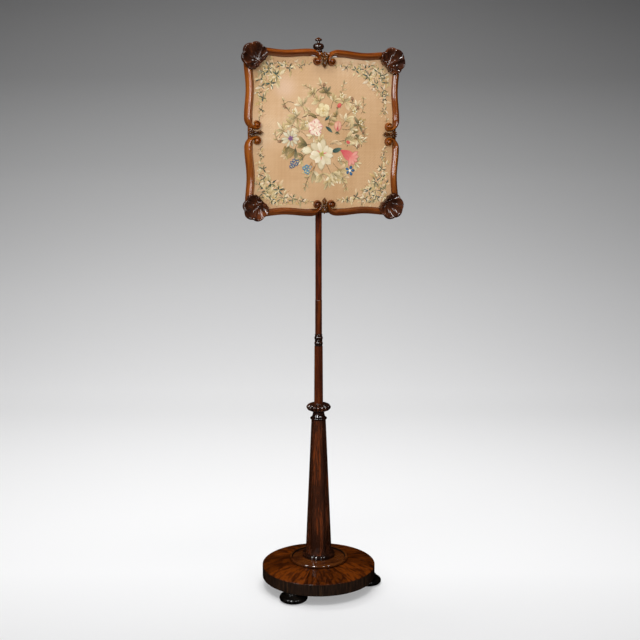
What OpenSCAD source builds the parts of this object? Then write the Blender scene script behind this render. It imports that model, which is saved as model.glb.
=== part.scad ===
// Pole screen: a square needlework panel in a carved frame, on a pole with a round base.
// Millimetres. The floor is z = 0, the pole stands on the Z axis and the panel faces -Y.

/* [Base] */
// Diameter of the round base
base_d = 316; // [290:1:340]
// Height of the base's upright edge
base_edge_h = 33; // [26:1:40]
// How far the top rises from its rim to the plinth
base_rise = 14; // [8:1:18]
// Thickness of the veneer
veneer_t = 1.2; // [0.8:0.1:2]
// Number of veneer wedges on the top
wedge_count = 8; // [6:1:12]
// Saw-cut joint between two wedges, in degrees
wedge_joint = 0.15; // [0.1:0.05:0.4]
// Turn of the feet and the column about the pole
stand_turn = 100; // [0:1:119]

/* [Feet] */
// Gap between the floor and the base
foot_h = 25; // [20:1:32]
// Diameter of a bun foot
foot_d = 77; // [66:1:84]
// Distance from the base's edge in to the foot centres
foot_inset = 20; // [12:1:30]
// Diameter of the dowel on a foot
dowel_d = 18; // [12:1:24]
// Length of the dowel on a foot
dowel_l = 16; // [10:1:20]

/* [Plinth] */
// Diameter over the plinth's bead
plinth_d = 164; // [140:1:180]
// Height of the plinth
plinth_h = 9.5; // [8:0.5:12]
// Diameter over the bead ring at the column's foot
ring_d = 91; // [84:1:98]
// Height of the bead ring
ring_h = 11; // [8:0.5:13]

/* [Column] */
// Height of the hexagonal column
column_h = 382; // [340:1:420]
// Width of the column's foot, corner to corner
column_foot_w = 73.4; // [66:0.2:78]
// Width of the column's top, corner to corner
column_top_w = 40.4; // [38:0.2:46]
// Diameter of the round flare at the column's foot
flare_d = 75; // [72:0.5:78]
// Height of the round flare
flare_h = 30; // [20:1:40]
// Diameter of the tenon that joins the column to the base
tenon_d = 28; // [20:1:32]
// Wood left under the tenon's hole
tenon_floor = 6; // [4:0.5:10]

/* [Collar and knop] */
// Diameter of the collar ring on the column
collar_d = 46.5; // [43:0.5:50]
// Height of the collar ring
collar_h = 6; // [5:0.5:8]
// Diameter of the neck under the knop
neck_d = 33; // [28:0.5:38]
// Height of the neck
neck_h = 17; // [13:0.5:20]
// Diameter of the gadrooned knop
knop_d = 67.6; // [60:0.2:74]
// Height of the knop
knop_h = 22; // [18:0.5:26]
// Number of lobes round the knop
knop_lobes = 16; // [12:1:24]
// Depth of the grooves between the lobes
knop_groove = 3; // [1:0.25:4]

/* [Lower pole] */
// Diameter at the foot of the lower pole
lower_foot_d = 24.6; // [22:0.2:27]
// Diameter under the ring cluster
lower_top_d = 22.7; // [21:0.1:24]
// Length of the lower pole up to the ring cluster
lower_l = 160; // [130:1:190]
// Diameter of the largest ring in the cluster
cluster_d = 23.4; // [22.8:0.1:26]
// Height of the ring cluster
cluster_h = 33; // [28:1:40]
// Diameter of the lower pole's tenon
lower_tenon_d = 16; // [12:0.5:18]
// Length of the lower pole's tenon in the column
lower_tenon_l = 58; // [40:1:80]

/* [Upper pole] */
// Diameter of the pole that the panel slides on
pole_d = 17.5; // [16:0.1:18]
// Length of the upper pole
upper_l = 657; // [600:1:700]
// Diameter of the middle pole
middle_d = 18.6; // [18.2:0.1:19]
// Length of the middle pole
middle_l = 93; // [70:1:120]
// Diameter of the spigots between the pole's lengths
spigot_d = 12; // [9:0.5:13]
// Length of a spigot
spigot_l = 42; // [30:1:60]

/* [Finial] */
// Diameter of the finial's ball
finial_d = 29; // [25:0.5:34]
// Height of the finial
finial_h = 38; // [32:0.5:44]
// Diameter of the finial's peg
peg_d = 8; // [5:0.5:10]
// Length of the finial's peg
peg_l = 20; // [12:1:30]

/* [Frame] */
// Half the distance between the corner shells' centres
half = 191; // [175:1:205]
// Width of a frame rail
rail_w = 18.5; // [16:0.5:20]
// How far the crest of a rail's wave stands outside the shell centres, at its middle line
rail_out = 15; // [14:0.5:16]
// Swing of a rail's wave, to each side
wave_h = 2.6; // [1.5:0.1:3.5]
// Length of a rail's wave
wave_l = 150; // [135:1:165]
// Bend radius where a rail turns in to its volute
hook_r = 21; // [20:0.5:24]
// Width of a rail's strap at the start of its curl
strap_w = 9; // [8:0.25:10]
// Width of the strap at the end of its curl
strap_end_w = 6; // [5:0.25:7]
// Radius of the eye in a volute
eye_r = 6; // [5:0.25:7]
// Distance from the clasp to the crest of a rail's wave, where the rail starts to turn in
hook_at = 37.5; // [37:0.5:41]
// Radius of a volute
volute_r = 10.5; // [9:0.5:11]
// How far a volute stands out in front of the rail's crest
volute_proud = 1.5; // [0.5:0.5:3]
// Distance from the pole's axis to the back of the frame
frame_back = 31; // [28:0.5:36]
// Depth of the frame from back to crest
frame_t = 22; // [20:0.5:26]

/* [Carving] */
// Radius of a corner shell
shell_r = 36; // [32:0.5:38]
// Number of ribs on a shell
shell_ribs = 9; // [7:1:11]
// Thickness of a shell
shell_t = 15; // [12:0.5:18]
// Distance from a shell's centre to its straight side
shell_flat = 24; // [20:0.5:28]
// Radius of the two curls beside a shell's hinge
curl_r = 7; // [5:0.5:8]
// Distance of the curls from a shell's centre
curl_at = 25; // [20:0.5:27]
// Angle of the curls off a shell's middle line
curl_spread = 31; // [25:1:40]
// Width of a clasp's fan
clasp_w = 26; // [22:1:30]
// Length of a clasp
clasp_l = 40; // [36:1:44]
// Thickness of a clasp
clasp_t = 11; // [8:0.5:13]

/* [Needlework] */
// How far the needlework runs on behind the frame, past the shell centres
rebate_w = 5; // [3:0.5:7]
// Thickness of the needlework canvas
canvas_t = 0.8; // [0.5:0.1:1.5]
// Width of a strainer bar
strainer_w = 30; // [20:1:40]
// Thickness of the strainer
strainer_t = 8; // [6:0.5:9]
// Thickness of the lining cloth
lining_t = 0.6; // [0.4:0.1:1]
// Diameter of a holding pin
pin_d = 1.6; // [1:0.1:2]
// Length of a holding pin
pin_l = 14; // [10:1:18]
// Distance of the holding pins from the middle of a side
pin_at = 110; // [90:1:130]

/* [Brackets] */
// Inner diameter of a loop
loop_d = 20; // [19.6:0.1:22]
// Wall of a loop
loop_wall = 4; // [3:0.5:6]
// Height of a loop
loop_h = 10; // [8:0.5:12]
// Gap between the upper loop and the finial
loop_drop = 6; // [5:0.5:20]
// Width of a bracket's plate
plate_w = 46; // [40:1:56]
// Height of a bracket's plate
plate_h = 12; // [10:0.5:14]
// Thickness of a bracket's plate
plate_t = 2; // [1.5:0.25:3]
// Distance of a plate's screws from its middle
plate_screw_at = 16; // [13:0.5:19]
// Diameter of a plate screw
plate_screw_d = 3; // [2:0.25:3.5]
// Length of a plate screw
plate_screw_l = 11; // [8:0.5:12]

/* [Thumb screw] */
// Diameter of the thumb screw's shank
thumb_d = 5; // [4:0.25:6]
// Diameter of the boss that holds the thumb screw
boss_d = 12; // [10:0.5:14]
// Length of the boss behind the loop
boss_l = 10; // [8:0.5:14]
// Diameter of the thumb screw's round grip
grip_d = 20; // [16:0.5:24]
// Thickness of the grip
grip_t = 4; // [3:0.25:5]

/* [Fits] */
// Radial clearance of a glued or driven joint
glue_fit = 0.1; // [0.05:0.05:0.2]
// Radial clearance of a turning joint
turn_fit = 0.06; // [0.03:0.01:0.1]
// Gap between faces that move past each other
move_gap = 0.3; // [0.2:0.05:0.5]

/* [Hidden] */
$fa = 5;
$fs = 0.8;
// Steps along a rail's wave, along each of its bends and over its crest, and degrees that its strap curls
wave_steps = 20;
hook_steps = 9;
crest_steps = 8;
curl_turn = 150;
// Heights of the stand and the pole, from the floor up
rim_z = foot_h + base_edge_h;
plinth_z = rim_z + base_rise;
ring_z = plinth_z + plinth_h;
column_z = ring_z + ring_h;
collar_z = column_z + column_h;
neck_z = collar_z + collar_h;
knop_z = neck_z + neck_h;
lower_z = knop_z + knop_h;
cluster_z = lower_z + lower_l;
middle_z = cluster_z + cluster_h + move_gap;
upper_z = middle_z + middle_l;
finial_z = upper_z + upper_l;
tenon_z = foot_h + tenon_floor;
foot_circle_d = base_d - 2 * foot_inset;
core_r = base_d / 2 - veneer_t;
// Inner edge of the top veneer, and the steps and the curve of the domed top
veneer_in_r = tenon_d / 2 + 6;
dome_steps = 8;
dome_power = 1.7;
// Set-outs of the panel: plate below the rail line, room behind the carving, volute beside the hook,
// height of the block that bridges the two halves of a rail, and how far it lies behind the shell seats
plate_inset = 4.5;
carving_gap = 1.4;
volute_shift = 3.75;
bridge_v = 15;
bridge_gap = 0.8;
// Side of the needlework's rebate, and how far a rail is drawn on past its corner before the mitre
insert_half = half + rebate_w;
corner_run = 40;
// Heights and depths of the panel, where depths are measured forward of the pole's axis
plate_v = half + rail_out - plate_inset;
upper_loop_z = finial_z - loop_drop - loop_h / 2;
panel_z = upper_loop_z - plate_v;
lower_loop_z = panel_z - plate_v;
frame_front = frame_back + frame_t;
seat = frame_front - rail_w / 2;
bridge_front = seat - bridge_gap;
canvas_front = seat - carving_gap;
canvas_back = canvas_front - canvas_t;
strainer_back = canvas_back - strainer_t;
lining_back = strainer_back - lining_t;
pin_depth = lining_back - pin_d / 2;
// Centres of a rail's turn and of its volute
hook_v = half + rail_out - hook_r;
volute_u = hook_at - hook_r + volute_shift;
// Half width of the room between two straps that a clasp's small fan fills, the place of its waist as a
// share of its length, the waist's half width as a share of its width, its number of flutes, and how far
// its large fan stands out past the bridge
bud_half = hook_at - hook_r - rail_w / 2 - move_gap;
waist_at = 0.5;
waist_share = 0.14;
clasp_flutes = 5;
clasp_proud = 4;
strainer_l = 2 * (insert_half - glue_fit);
loop_r = loop_d / 2;
boss_end = loop_r + loop_wall + boss_l;
wood_dark = [0.20, 0.10, 0.06];
wood_red = [0.42, 0.20, 0.08];
brass = [0.80, 0.62, 0.28];

// Height of the base's domed top at a distance from the axis
function dome_z(r) =
  r <= plinth_d / 2 ? plinth_z
  : plinth_z - base_rise * pow((r - plinth_d / 2) / (base_d / 2 - plinth_d / 2), dome_power);

// Points along the dome from the plinth to the rim, dropped by some thickness
function dome_line(drop) =
  [for (i = [0 : dome_steps]) let (r = plinth_d / 2 + (base_d - plinth_d) / 2 * i / dome_steps)
    [r, dome_z(r) - drop]];

// Point where the core's upright edge meets the underside of the veneer, on the last chord of the dome
function core_rim() =
  let (line = dome_line(veneer_t), a = line[dome_steps - 1], b = line[dome_steps])
  a + (b - a) * (core_r - a[0]) / (b[0] - a[0]);

// Faces that join a stack of equal rings of points and close both ends
function stack_faces(n, m) = concat(
  [[for (j = [0 : n - 1]) j]],
  [for (i = [0 : m - 2]) for (j = [0 : n - 1]) [i * n + j, (i + 1) * n + j, (i + 1) * n + (j + 1) % n]],
  [for (i = [0 : m - 2]) for (j = [0 : n - 1]) [i * n + j, (i + 1) * n + (j + 1) % n, i * n + (j + 1) % n]],
  [[for (j = [0 : n - 1]) m * n - 1 - j]]
);

// A solid through a stack of rings, each one counter-clockwise seen from the stack's end
module stacked(rings) {
  n = len(rings[0]);
  points = [for (ring = rings) for (p = ring) p];
  polyhedron(points, stack_faces(n, len(rings)), convexity = 6);
}

// Half section of a turned bead that reaches radius r at height z
module bead(r, d, z) {
  translate([r - d / 2, z]) circle(d = d);
}

// A round rod, or the shape of a drilled hole, on the Z axis between two heights
module rod(d, z1, z2) {
  translate([0, 0, z1]) cylinder(d = d, h = z2 - z1);
}

// Place a child at foot i
module at_foot(i) {
  rotate([0, 0, stand_turn + 120 * i]) translate([foot_circle_d / 2, 0, 0]) children();
}

// A bun foot with its dowel
module bun_foot() {
  bun_d = foot_h * 0.64;
  cap_d = foot_h * 0.24;
  bun_top_r = foot_d / 2 - bun_d / 2;
  cap_r = foot_d * 0.33;
  color([0.05, 0.04, 0.03]) rotate_extrude() {
    square([bun_top_r, bun_d]);
    bead(foot_d / 2, bun_d, bun_d / 2);
    polygon([[0, bun_d], [bun_top_r, bun_d], [cap_r, foot_h - cap_d], [0, foot_h - cap_d]]);
    square([cap_r - cap_d / 4, foot_h]);
    bead(cap_r, cap_d, foot_h - cap_d / 2);
    square([dowel_d / 2, foot_h + dowel_l]);
  }
}

module foot_front() { at_foot(1) bun_foot(); }
module foot_right() { at_foot(2) bun_foot(); }
module foot_back() { at_foot(0) bun_foot(); }

// Core of the base, with holes for the column's tenon and the feet's dowels
module base_core() {
  color(wood_dark) difference() {
    rotate_extrude() polygon(concat(
      [[0, foot_h], [core_r, foot_h], core_rim()],
      [for (i = [dome_steps - 1 : -1 : 0]) dome_line(veneer_t)[i]],
      [[0, plinth_z - veneer_t]]
    ));
    rod(tenon_d + 2 * glue_fit, tenon_z, plinth_z + 1);
    for (i = [0 : 2]) at_foot(i) rod(dowel_d + 2 * glue_fit, foot_h - 1, foot_h + dowel_l + 1);
  }
}

// Wedges of veneer over the domed top
module top_veneer() {
  outer = dome_line(0);
  inner = dome_line(veneer_t);
  step = 360 / wedge_count;
  color(wood_red)
    for (i = [0 : wedge_count - 1])
      rotate([0, 0, stand_turn + i * step])
        rotate_extrude(angle = step - wedge_joint) polygon(concat(
          [[veneer_in_r, plinth_z]], outer,
          [for (j = [dome_steps : -1 : 0]) inner[j]], [[veneer_in_r, plinth_z - veneer_t]]
        ));
}

// Band of veneer round the upright edge
module edge_band() {
  color(wood_dark) rotate_extrude() polygon([
    [core_r, foot_h], [base_d / 2, foot_h], [base_d / 2, rim_z - veneer_t], core_rim()
  ]);
}

// Turned plinth with a bead round its edge
module plinth() {
  color(wood_red) difference() {
    rotate_extrude() {
      translate([0, plinth_z]) square([plinth_d / 2 - plinth_h, plinth_h - 1]);
      translate([0, plinth_z]) square([plinth_d / 2 - plinth_h / 2, plinth_h / 2]);
      bead(plinth_d / 2, plinth_h, plinth_z + plinth_h / 2);
      translate([0, plinth_z]) square([ring_d / 2, plinth_h]);
    }
    rod(tenon_d + 2 * glue_fit, plinth_z - 1, ring_z + 1);
  }
}

// Turned bead ring that the column stands on
module foot_ring() {
  color(wood_dark) difference() {
    rotate_extrude() {
      translate([0, ring_z]) square([ring_d / 2 - ring_h / 2, ring_h]);
      bead(ring_d / 2, ring_h, ring_z + ring_h / 2);
    }
    rod(tenon_d + 2 * glue_fit, ring_z - 1, column_z + 1);
  }
}

// Tapered hexagonal column with a round flare at its foot and a tenon below
module column() {
  color(wood_dark) {
    difference() {
      union() {
        translate([0, 0, column_z]) rotate([0, 0, stand_turn])
          cylinder(d1 = column_foot_w, d2 = column_top_w, h = column_h, $fn = 6);
        translate([0, 0, column_z])
          cylinder(d1 = flare_d, d2 = column_foot_w * 0.78, h = flare_h);
      }
      rod(lower_tenon_d + 2 * glue_fit, collar_z - lower_tenon_l - 1, collar_z + 1);
    }
    rod(tenon_d, tenon_z + 1, column_z + 0.5);
  }
}

// Turned collar with a tapered neck
module collar() {
  color(wood_dark) difference() {
    rotate_extrude() {
      translate([0, collar_z]) square([collar_d / 2 - collar_h / 2, collar_h]);
      bead(collar_d / 2, collar_h, collar_z + collar_h / 2);
      polygon([
        [0, neck_z], [collar_d * 0.42, neck_z], [neck_d / 2, neck_z + neck_h * 0.6],
        [neck_d / 2, knop_z], [0, knop_z]
      ]);
    }
    rod(lower_tenon_d + 2 * glue_fit, collar_z - 1, knop_z + 1);
  }
}

// Radius of the knop at a share of its height and an angle
function knop_r(t, a) =
  neck_d / 2 + (knop_d / 2 - neck_d / 2) * sqrt(max(0, 1 - pow(2 * t - 1, 2)))
  - knop_groove * sqrt(max(0, 1 - pow(2 * t - 1, 2))) * (1 - abs(cos(a * knop_lobes / 2)));

// Gadrooned knop
module knop() {
  turns = knop_lobes * 4;
  steps = 10;
  color(wood_dark) difference() {
    stacked([for (i = [0 : steps])
      let (t = (1 - cos(180 * i / steps)) / 2)
      [for (j = [0 : turns - 1])
        let (a = 360 * j / turns, r = knop_r(t, a)) [r * cos(a), r * sin(a), knop_z + knop_h * t]]]);
    rod(lower_tenon_d + 2 * glue_fit, knop_z - 1, lower_z + 1);
  }
}

// Lower pole: tapered shaft, ring cluster, tenon below and socket above
module lower_pole() {
  ring = cluster_h / 4;
  color(wood_red) difference() {
    rotate_extrude() {
      polygon([
        [0, lower_z], [lower_foot_d / 2, lower_z], [lower_top_d / 2, cluster_z], [0, cluster_z]
      ]);
      translate([0, cluster_z]) square([cluster_d * 0.42, cluster_h]);
      bead(cluster_d / 2, ring * 0.8, cluster_z + ring * 0.4);
      bead(cluster_d * 0.47, ring * 0.7, cluster_z + ring * 1.25);
      bead(cluster_d / 2, ring, cluster_z + ring * 2.2);
      bead(cluster_d * 0.45, ring * 0.8, cluster_z + ring * 3.6);
      translate([0, collar_z - lower_tenon_l])
        square([lower_tenon_d / 2, lower_tenon_l + lower_z - collar_z]);
    }
    rod(spigot_d + 2 * turn_fit, cluster_z + cluster_h - spigot_l - 1, cluster_z + cluster_h + 1);
  }
}

// Middle pole: a spigot that turns in the lower pole, and a socket for the upper pole
module middle_pole() {
  color(wood_red) difference() {
    rotate_extrude() {
      polygon([
        [0, middle_z], [middle_d / 2, middle_z], [(middle_d + pole_d) / 4 + 0.2, upper_z], [0, upper_z]
      ]);
      translate([0, middle_z - spigot_l]) square([spigot_d / 2, spigot_l]);
    }
    rod(spigot_d + 2 * glue_fit, upper_z - spigot_l - 1, upper_z + 1);
  }
}

// Upper pole: the length that the panel slides on
module upper_pole() {
  color(wood_red) difference() {
    union() {
      rod(pole_d, upper_z, finial_z);
      rod(spigot_d, upper_z - spigot_l, upper_z);
    }
    rod(peg_d + 2 * glue_fit, finial_z - peg_l - 1, finial_z + 1);
  }
}

// Turned finial with a peg
module finial() {
  ball_h = min(finial_h * 0.42, finial_d * 0.49);
  knob_h = finial_h * 0.2;
  ball_z = finial_z + finial_h * 0.37;
  knob_z = finial_z + finial_h * 0.84;
  color(wood_dark) rotate_extrude() {
    translate([0, finial_z]) square([finial_d * 0.36, finial_h * 0.2]);
    translate([0, ball_z - ball_h / 2]) square([finial_d / 2 - ball_h / 2, ball_h]);
    bead(finial_d / 2, ball_h, ball_z);
    translate([0, ball_z]) square([finial_d * 0.12, knob_z - ball_z]);
    bead(finial_d * 0.32, knob_h, knob_z);
    polygon([[0, knob_z], [finial_d * 0.2, knob_z + knob_h * 0.45], [0, finial_z + finial_h]]);
    translate([0, finial_z - peg_l]) square([peg_d / 2, peg_l]);
  }
}

// Stand a child drawn flat in X and Y up in the panel's plane, with its height pointing forward
module on_panel() {
  translate([0, 0, panel_z]) rotate([90, 0, 0]) children();
}

// Width of a rail at a share of its turn into the volute
function hook_width(t) = rail_w + (strap_w - rail_w) * sin(90 * t);

// Height of a rail's wave at a distance along it from its crest, and its slope there in degrees
function wave_v(x) = half + rail_out - wave_h * (1 - cos(360 * x / wave_l));
function wave_slope(x) = -atan(wave_h * PI * 2 / wave_l * sin(360 * x / wave_l));

// Stations along half a rail, each as [centre u, centre v, radius to the outer edge, angle, width]:
// the long wave, the turn inward, and the strap that curls round the volute
function rail_stations() = concat(
  [for (i = [wave_steps : -1 : 0]) let (x = (half + corner_run - hook_at) * i / wave_steps)
    [hook_at + x, wave_v(x), rail_w / 2, 90 + wave_slope(x), rail_w]],
  [for (i = [1 : hook_steps]) let (t = i / hook_steps)
    [hook_at, hook_v, hook_r + rail_w / 2, 90 + 90 * t, hook_width(t)]],
  [for (i = [1 : hook_steps]) let (t = i / hook_steps, r = rail_w / 2 + volute_shift)
    [volute_u, hook_v, r + (volute_r - r) * t, 180 + curl_turn * t, strap_w + (strap_end_w - strap_w) * t]]
);

// One ring of a rail's section at a station: upright sides and a round crest
function rail_ring(st) =
  let (out = st[2], a = st[3], w = st[4])
  [for (q = concat(
      [[out - w, frame_back]],
      [for (k = [0 : crest_steps]) let (b = 180 - 180 * k / crest_steps)
        [out - w / 2 + w / 2 * cos(b), seat + rail_w / 2 * sin(b)]],
      [[out, frame_back]]))
    [st[0] + q[0] * cos(a), st[1] + q[0] * sin(a), q[1]]];

// Half of a rail, from its corner to its volute
module half_rail() {
  stacked([for (st = rail_stations()) rail_ring(st)]);
  translate([volute_u, hook_v, frame_back])
    cylinder(r = eye_r, h = frame_front + volute_proud - frame_back);
}

// A whole rail, drawn as the top one, with its corners mitred
module rail(bracket) {
  reach = 2 * half;
  color(wood_red) difference() {
    intersection() {
      union() {
        half_rail();
        mirror([1, 0, 0]) half_rail();
        translate([-hook_at, insert_half, frame_back])
          cube([2 * hook_at, bridge_v - rebate_w, bridge_front - frame_back]);
      }
      linear_extrude(2 * frame_front) polygon([[0, 0], [reach, reach], [-reach, reach]]);
    }
    translate([-insert_half, -insert_half, 0])
      cube([2 * insert_half, 2 * insert_half, canvas_front]);
    for (side = [-1, 1]) {
      translate([side * half, half, seat]) cylinder(r = shell_r + move_gap, h = 2 * rail_w);
      translate([side * pin_at, insert_half - 1, pin_depth]) rotate([-90, 0, 0])
        cylinder(d = pin_d + glue_fit, h = pin_l / 2 + 2);
    }
    if (bracket)
      for (side = [-1, 1])
        translate([side * plate_screw_at, plate_v, frame_back - 1])
          cylinder(d = plate_screw_d + 2 * glue_fit, h = plate_screw_l + 1);
  }
}

module top_rail() { on_panel() rail(true); }
module bottom_rail() { on_panel() rotate([0, 0, 180]) rail(true); }
module left_rail() { on_panel() rotate([0, 0, 90]) rail(false); }
module right_rail() { on_panel() rotate([0, 0, -90]) rail(false); }

// Distance from a shell's hinge to its scalloped rim, at an angle from the outer corner; the side
// towards the needlework is cut straight
function shell_reach(a, hinge) =
  let (r = shell_r * (0.93 + 0.07 * abs(cos(a * shell_ribs / 2))),
    rim = hinge * cos(a) + sqrt(pow(r, 2) - pow(hinge * sin(a), 2)))
  cos(a) < 0 ? min(rim, (hinge - shell_flat) / cos(a)) : rim;

// A hollow corner shell, drawn with its flutes fanning towards +X from a hinge between two curls
module shell() {
  turns = shell_ribs * 8;
  hinge = shell_r * 0.45;
  shares = [0.94, 1, 0.96, 0.9, 0.8, 0.62, 0.42, 0.2, 0.05];
  heights = [0, 0.45, 0.85, 0.88, 0.7, 0.5, 0.4, 0.38, 0.4];
  ridges = [0, 0, 0, 0.05, 0.12, 0.16, 0.12, 0.04, 0];
  color(wood_dark) {
    stacked([for (k = [0 : len(shares) - 1])
      [for (j = [0 : turns - 1])
        let (a = 360 * j / turns, r = shares[k] * shell_reach(a, hinge),
          ridge = ridges[k] * pow(1 - abs(cos(a * shell_ribs / 2)), 2))
        [r * cos(a) - hinge, r * sin(a), shell_t * (heights[k] + ridge)]]]);
    for (side = [-1, 1])
      rotate([0, 0, 180 + side * curl_spread]) translate([curl_at, 0, 0])
        cylinder(r = curl_r, h = shell_t * 0.97);
  }
}

// Seat a shell on the corner at an angle from the panel's middle
module corner_shell(angle) {
  on_panel() rotate([0, 0, angle]) translate([half * sqrt(2), 0, seat]) shell();
}

module shell_top_left() { corner_shell(135); }
module shell_top_right() { corner_shell(45); }
module shell_bottom_left() { corner_shell(225); }
module shell_bottom_right() { corner_shell(315); }

// Share of the way from a clasp's waist to the end of either fan, at a share of its length
function fan_share(t) = t < waist_at ? 1 - t / waist_at : (t - waist_at) / (1 - waist_at);

// Half width of a clasp: a small fan between the two straps, a waist and a large fan
function clasp_half(t) =
  let (spread = pow(fan_share(t), 0.8))
  clasp_w * waist_share + spread * (t < waist_at ? bud_half - clasp_w * waist_share
    : clasp_w * (0.5 - waist_share));

// Height of a clasp at a share of its length
function clasp_rise(t) = clasp_t * (1 - (t < waist_at ? 0.5 : 0.4) * pow(fan_share(t), 2));

// A clasp, drawn as the top one, with its large fan outward and its small one inward
module clasp() {
  steps = 14;
  sides = 20;
  foot_v = half + bridge_v + clasp_proud - clasp_l;
  color(wood_dark) translate([0, 0, bridge_front]) rotate([-90, 0, 0])
    stacked([for (i = [0 : steps])
      let (t = i / steps, w = clasp_half(t), h = clasp_rise(t))
      [for (j = [0 : sides])
        let (a = 180 + 180 * j / sides,
          flute = 1 - 0.25 * fan_share(t) * (1 - abs(cos(clasp_flutes * (a - 180)))))
        [w * cos(a), h * sin(a) * flute, foot_v + clasp_l * t]]]);
}

module clasp_top() { on_panel() clasp(); }
module clasp_bottom() { on_panel() rotate([0, 0, 180]) clasp(); }
module clasp_left() { on_panel() rotate([0, 0, 90]) clasp(); }
module clasp_right() { on_panel() rotate([0, 0, -90]) clasp(); }

// Needlework canvas, stretched flat behind the frame
module needlework() {
  color([0.80, 0.66, 0.48]) on_panel()
    translate([-insert_half + glue_fit, -insert_half + glue_fit, canvas_back])
      cube([2 * (insert_half - glue_fit), 2 * (insert_half - glue_fit), canvas_t]);
}

// A strainer bar, drawn as the top one
module strainer_bar(length) {
  color([0.72, 0.58, 0.38])
    translate([-length / 2, insert_half - glue_fit - strainer_w, strainer_back])
      cube([length, strainer_w, strainer_t]);
}

module strainer_top() { on_panel() strainer_bar(strainer_l); }
module strainer_bottom() { on_panel() rotate([0, 0, 180]) strainer_bar(strainer_l); }
module strainer_left() { on_panel() rotate([0, 0, 90]) strainer_bar(strainer_l - 2 * strainer_w); }
module strainer_right() { on_panel() rotate([0, 0, -90]) strainer_bar(strainer_l - 2 * strainer_w); }

// Lining cloth over the back of the strainer
module back_lining() {
  color([0.45, 0.30, 0.22]) on_panel()
    translate([-insert_half + 1, -insert_half + 1, lining_back])
      cube([2 * insert_half - 2, 2 * insert_half - 2, lining_t]);
}

// Pins driven into the rails behind the lining, two on each side
module holding_pins() {
  color(brass) on_panel()
    for (turn = [0 : 90 : 270])
      for (side = [-1, 1])
        rotate([0, 0, turn]) translate([side * pin_at, insert_half - pin_l / 2, pin_depth])
          rotate([-90, 0, 0]) cylinder(d = pin_d, h = pin_l);
}

// A loop bracket, drawn at height 0: plate, neck and loop, and a boss if it takes the thumb screw
module loop_bracket(boss) {
  loop_out = loop_r + loop_wall;
  color(brass) difference() {
    union() {
      translate([-plate_w / 2, -frame_back, -plate_h / 2]) cube([plate_w, plate_t, plate_h]);
      translate([-loop_wall, -frame_back + plate_t / 2, -loop_h / 2])
        cube([2 * loop_wall, frame_back - loop_r - loop_wall / 2, loop_h]);
      rod(2 * loop_out, -loop_h / 2, loop_h / 2);
      if (boss)
        translate([0, loop_r + loop_wall / 2, 0]) rotate([-90, 0, 0])
          cylinder(d = boss_d, h = boss_end - loop_r - loop_wall / 2);
    }
    rod(loop_d, -boss_d, boss_d);
    for (side = [-1, 1])
      translate([side * plate_screw_at, -frame_back - 1, 0]) rotate([-90, 0, 0])
        cylinder(d = plate_screw_d + 2 * glue_fit, h = plate_t + 2);
    if (boss)
      rotate([-90, 0, 0]) cylinder(d = thumb_d + 2 * turn_fit, h = boss_end + 1);
  }
}

module upper_bracket() { translate([0, 0, upper_loop_z]) loop_bracket(false); }
module lower_bracket() { translate([0, 0, lower_loop_z]) loop_bracket(true); }

// Two round-headed screws for a bracket's plate
module bracket_screws() {
  head_d = plate_screw_d * 2;
  head_t = plate_screw_d * 0.5;
  color(brass)
    for (side = [-1, 1])
      translate([side * plate_screw_at, plate_t - frame_back, 0]) difference() {
        union() {
          rotate([-90, 0, 0]) cylinder(d = head_d, h = head_t);
          rotate([90, 0, 0]) cylinder(d = plate_screw_d, h = plate_screw_l);
        }
        translate([-head_d, head_t * 0.5, -head_t / 4]) cube([2 * head_d, head_t, head_t / 2]);
      }
}

module upper_bracket_screws() { translate([0, 0, upper_loop_z]) bracket_screws(); }
module lower_bracket_screws() { translate([0, 0, lower_loop_z]) bracket_screws(); }

// Thumb screw with a flat round grip
module thumb_screw() {
  tip = middle_d / 2 + move_gap;
  stop = boss_end + move_gap;
  stop_t = 3;
  color(brass) translate([0, 0, lower_loop_z]) {
    translate([0, tip, 0]) rotate([-90, 0, 0]) cylinder(d = thumb_d, h = stop - tip + stop_t);
    translate([0, stop, 0]) rotate([-90, 0, 0]) cylinder(d = thumb_d * 1.8, h = stop_t);
    translate([-grip_t / 2, stop + stop_t + grip_d / 2 - 1, 0]) rotate([0, 90, 0])
      cylinder(d = grip_d, h = grip_t);
  }
}

foot_front();
foot_right();
foot_back();
base_core();
top_veneer();
edge_band();
plinth();
foot_ring();
column();
collar();
knop();
lower_pole();
middle_pole();
upper_pole();
finial();
top_rail();
bottom_rail();
left_rail();
right_rail();
shell_top_left();
shell_top_right();
shell_bottom_left();
shell_bottom_right();
clasp_top();
clasp_bottom();
clasp_left();
clasp_right();
needlework();
strainer_top();
strainer_bottom();
strainer_left();
strainer_right();
back_lining();
holding_pins();
upper_bracket();
lower_bracket();
upper_bracket_screws();
lower_bracket_screws();
thumb_screw();
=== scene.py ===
# %% [markdown]
# # A pole screen, dressed over its CAD frame
# The object is a fire screen: a square of needlework in a carved rosewood frame, which slides on a slim
# pole over a round veneered base. The CAD model gives every piece its place and size, so this lesson
# only gives the pieces their finer shapes and their finishes. Everything is in metres, in the CAD frame.

# %% Load the CAD frame
import math
import random
import bpy
import bmesh
from mathutils import Matrix, Vector


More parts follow.
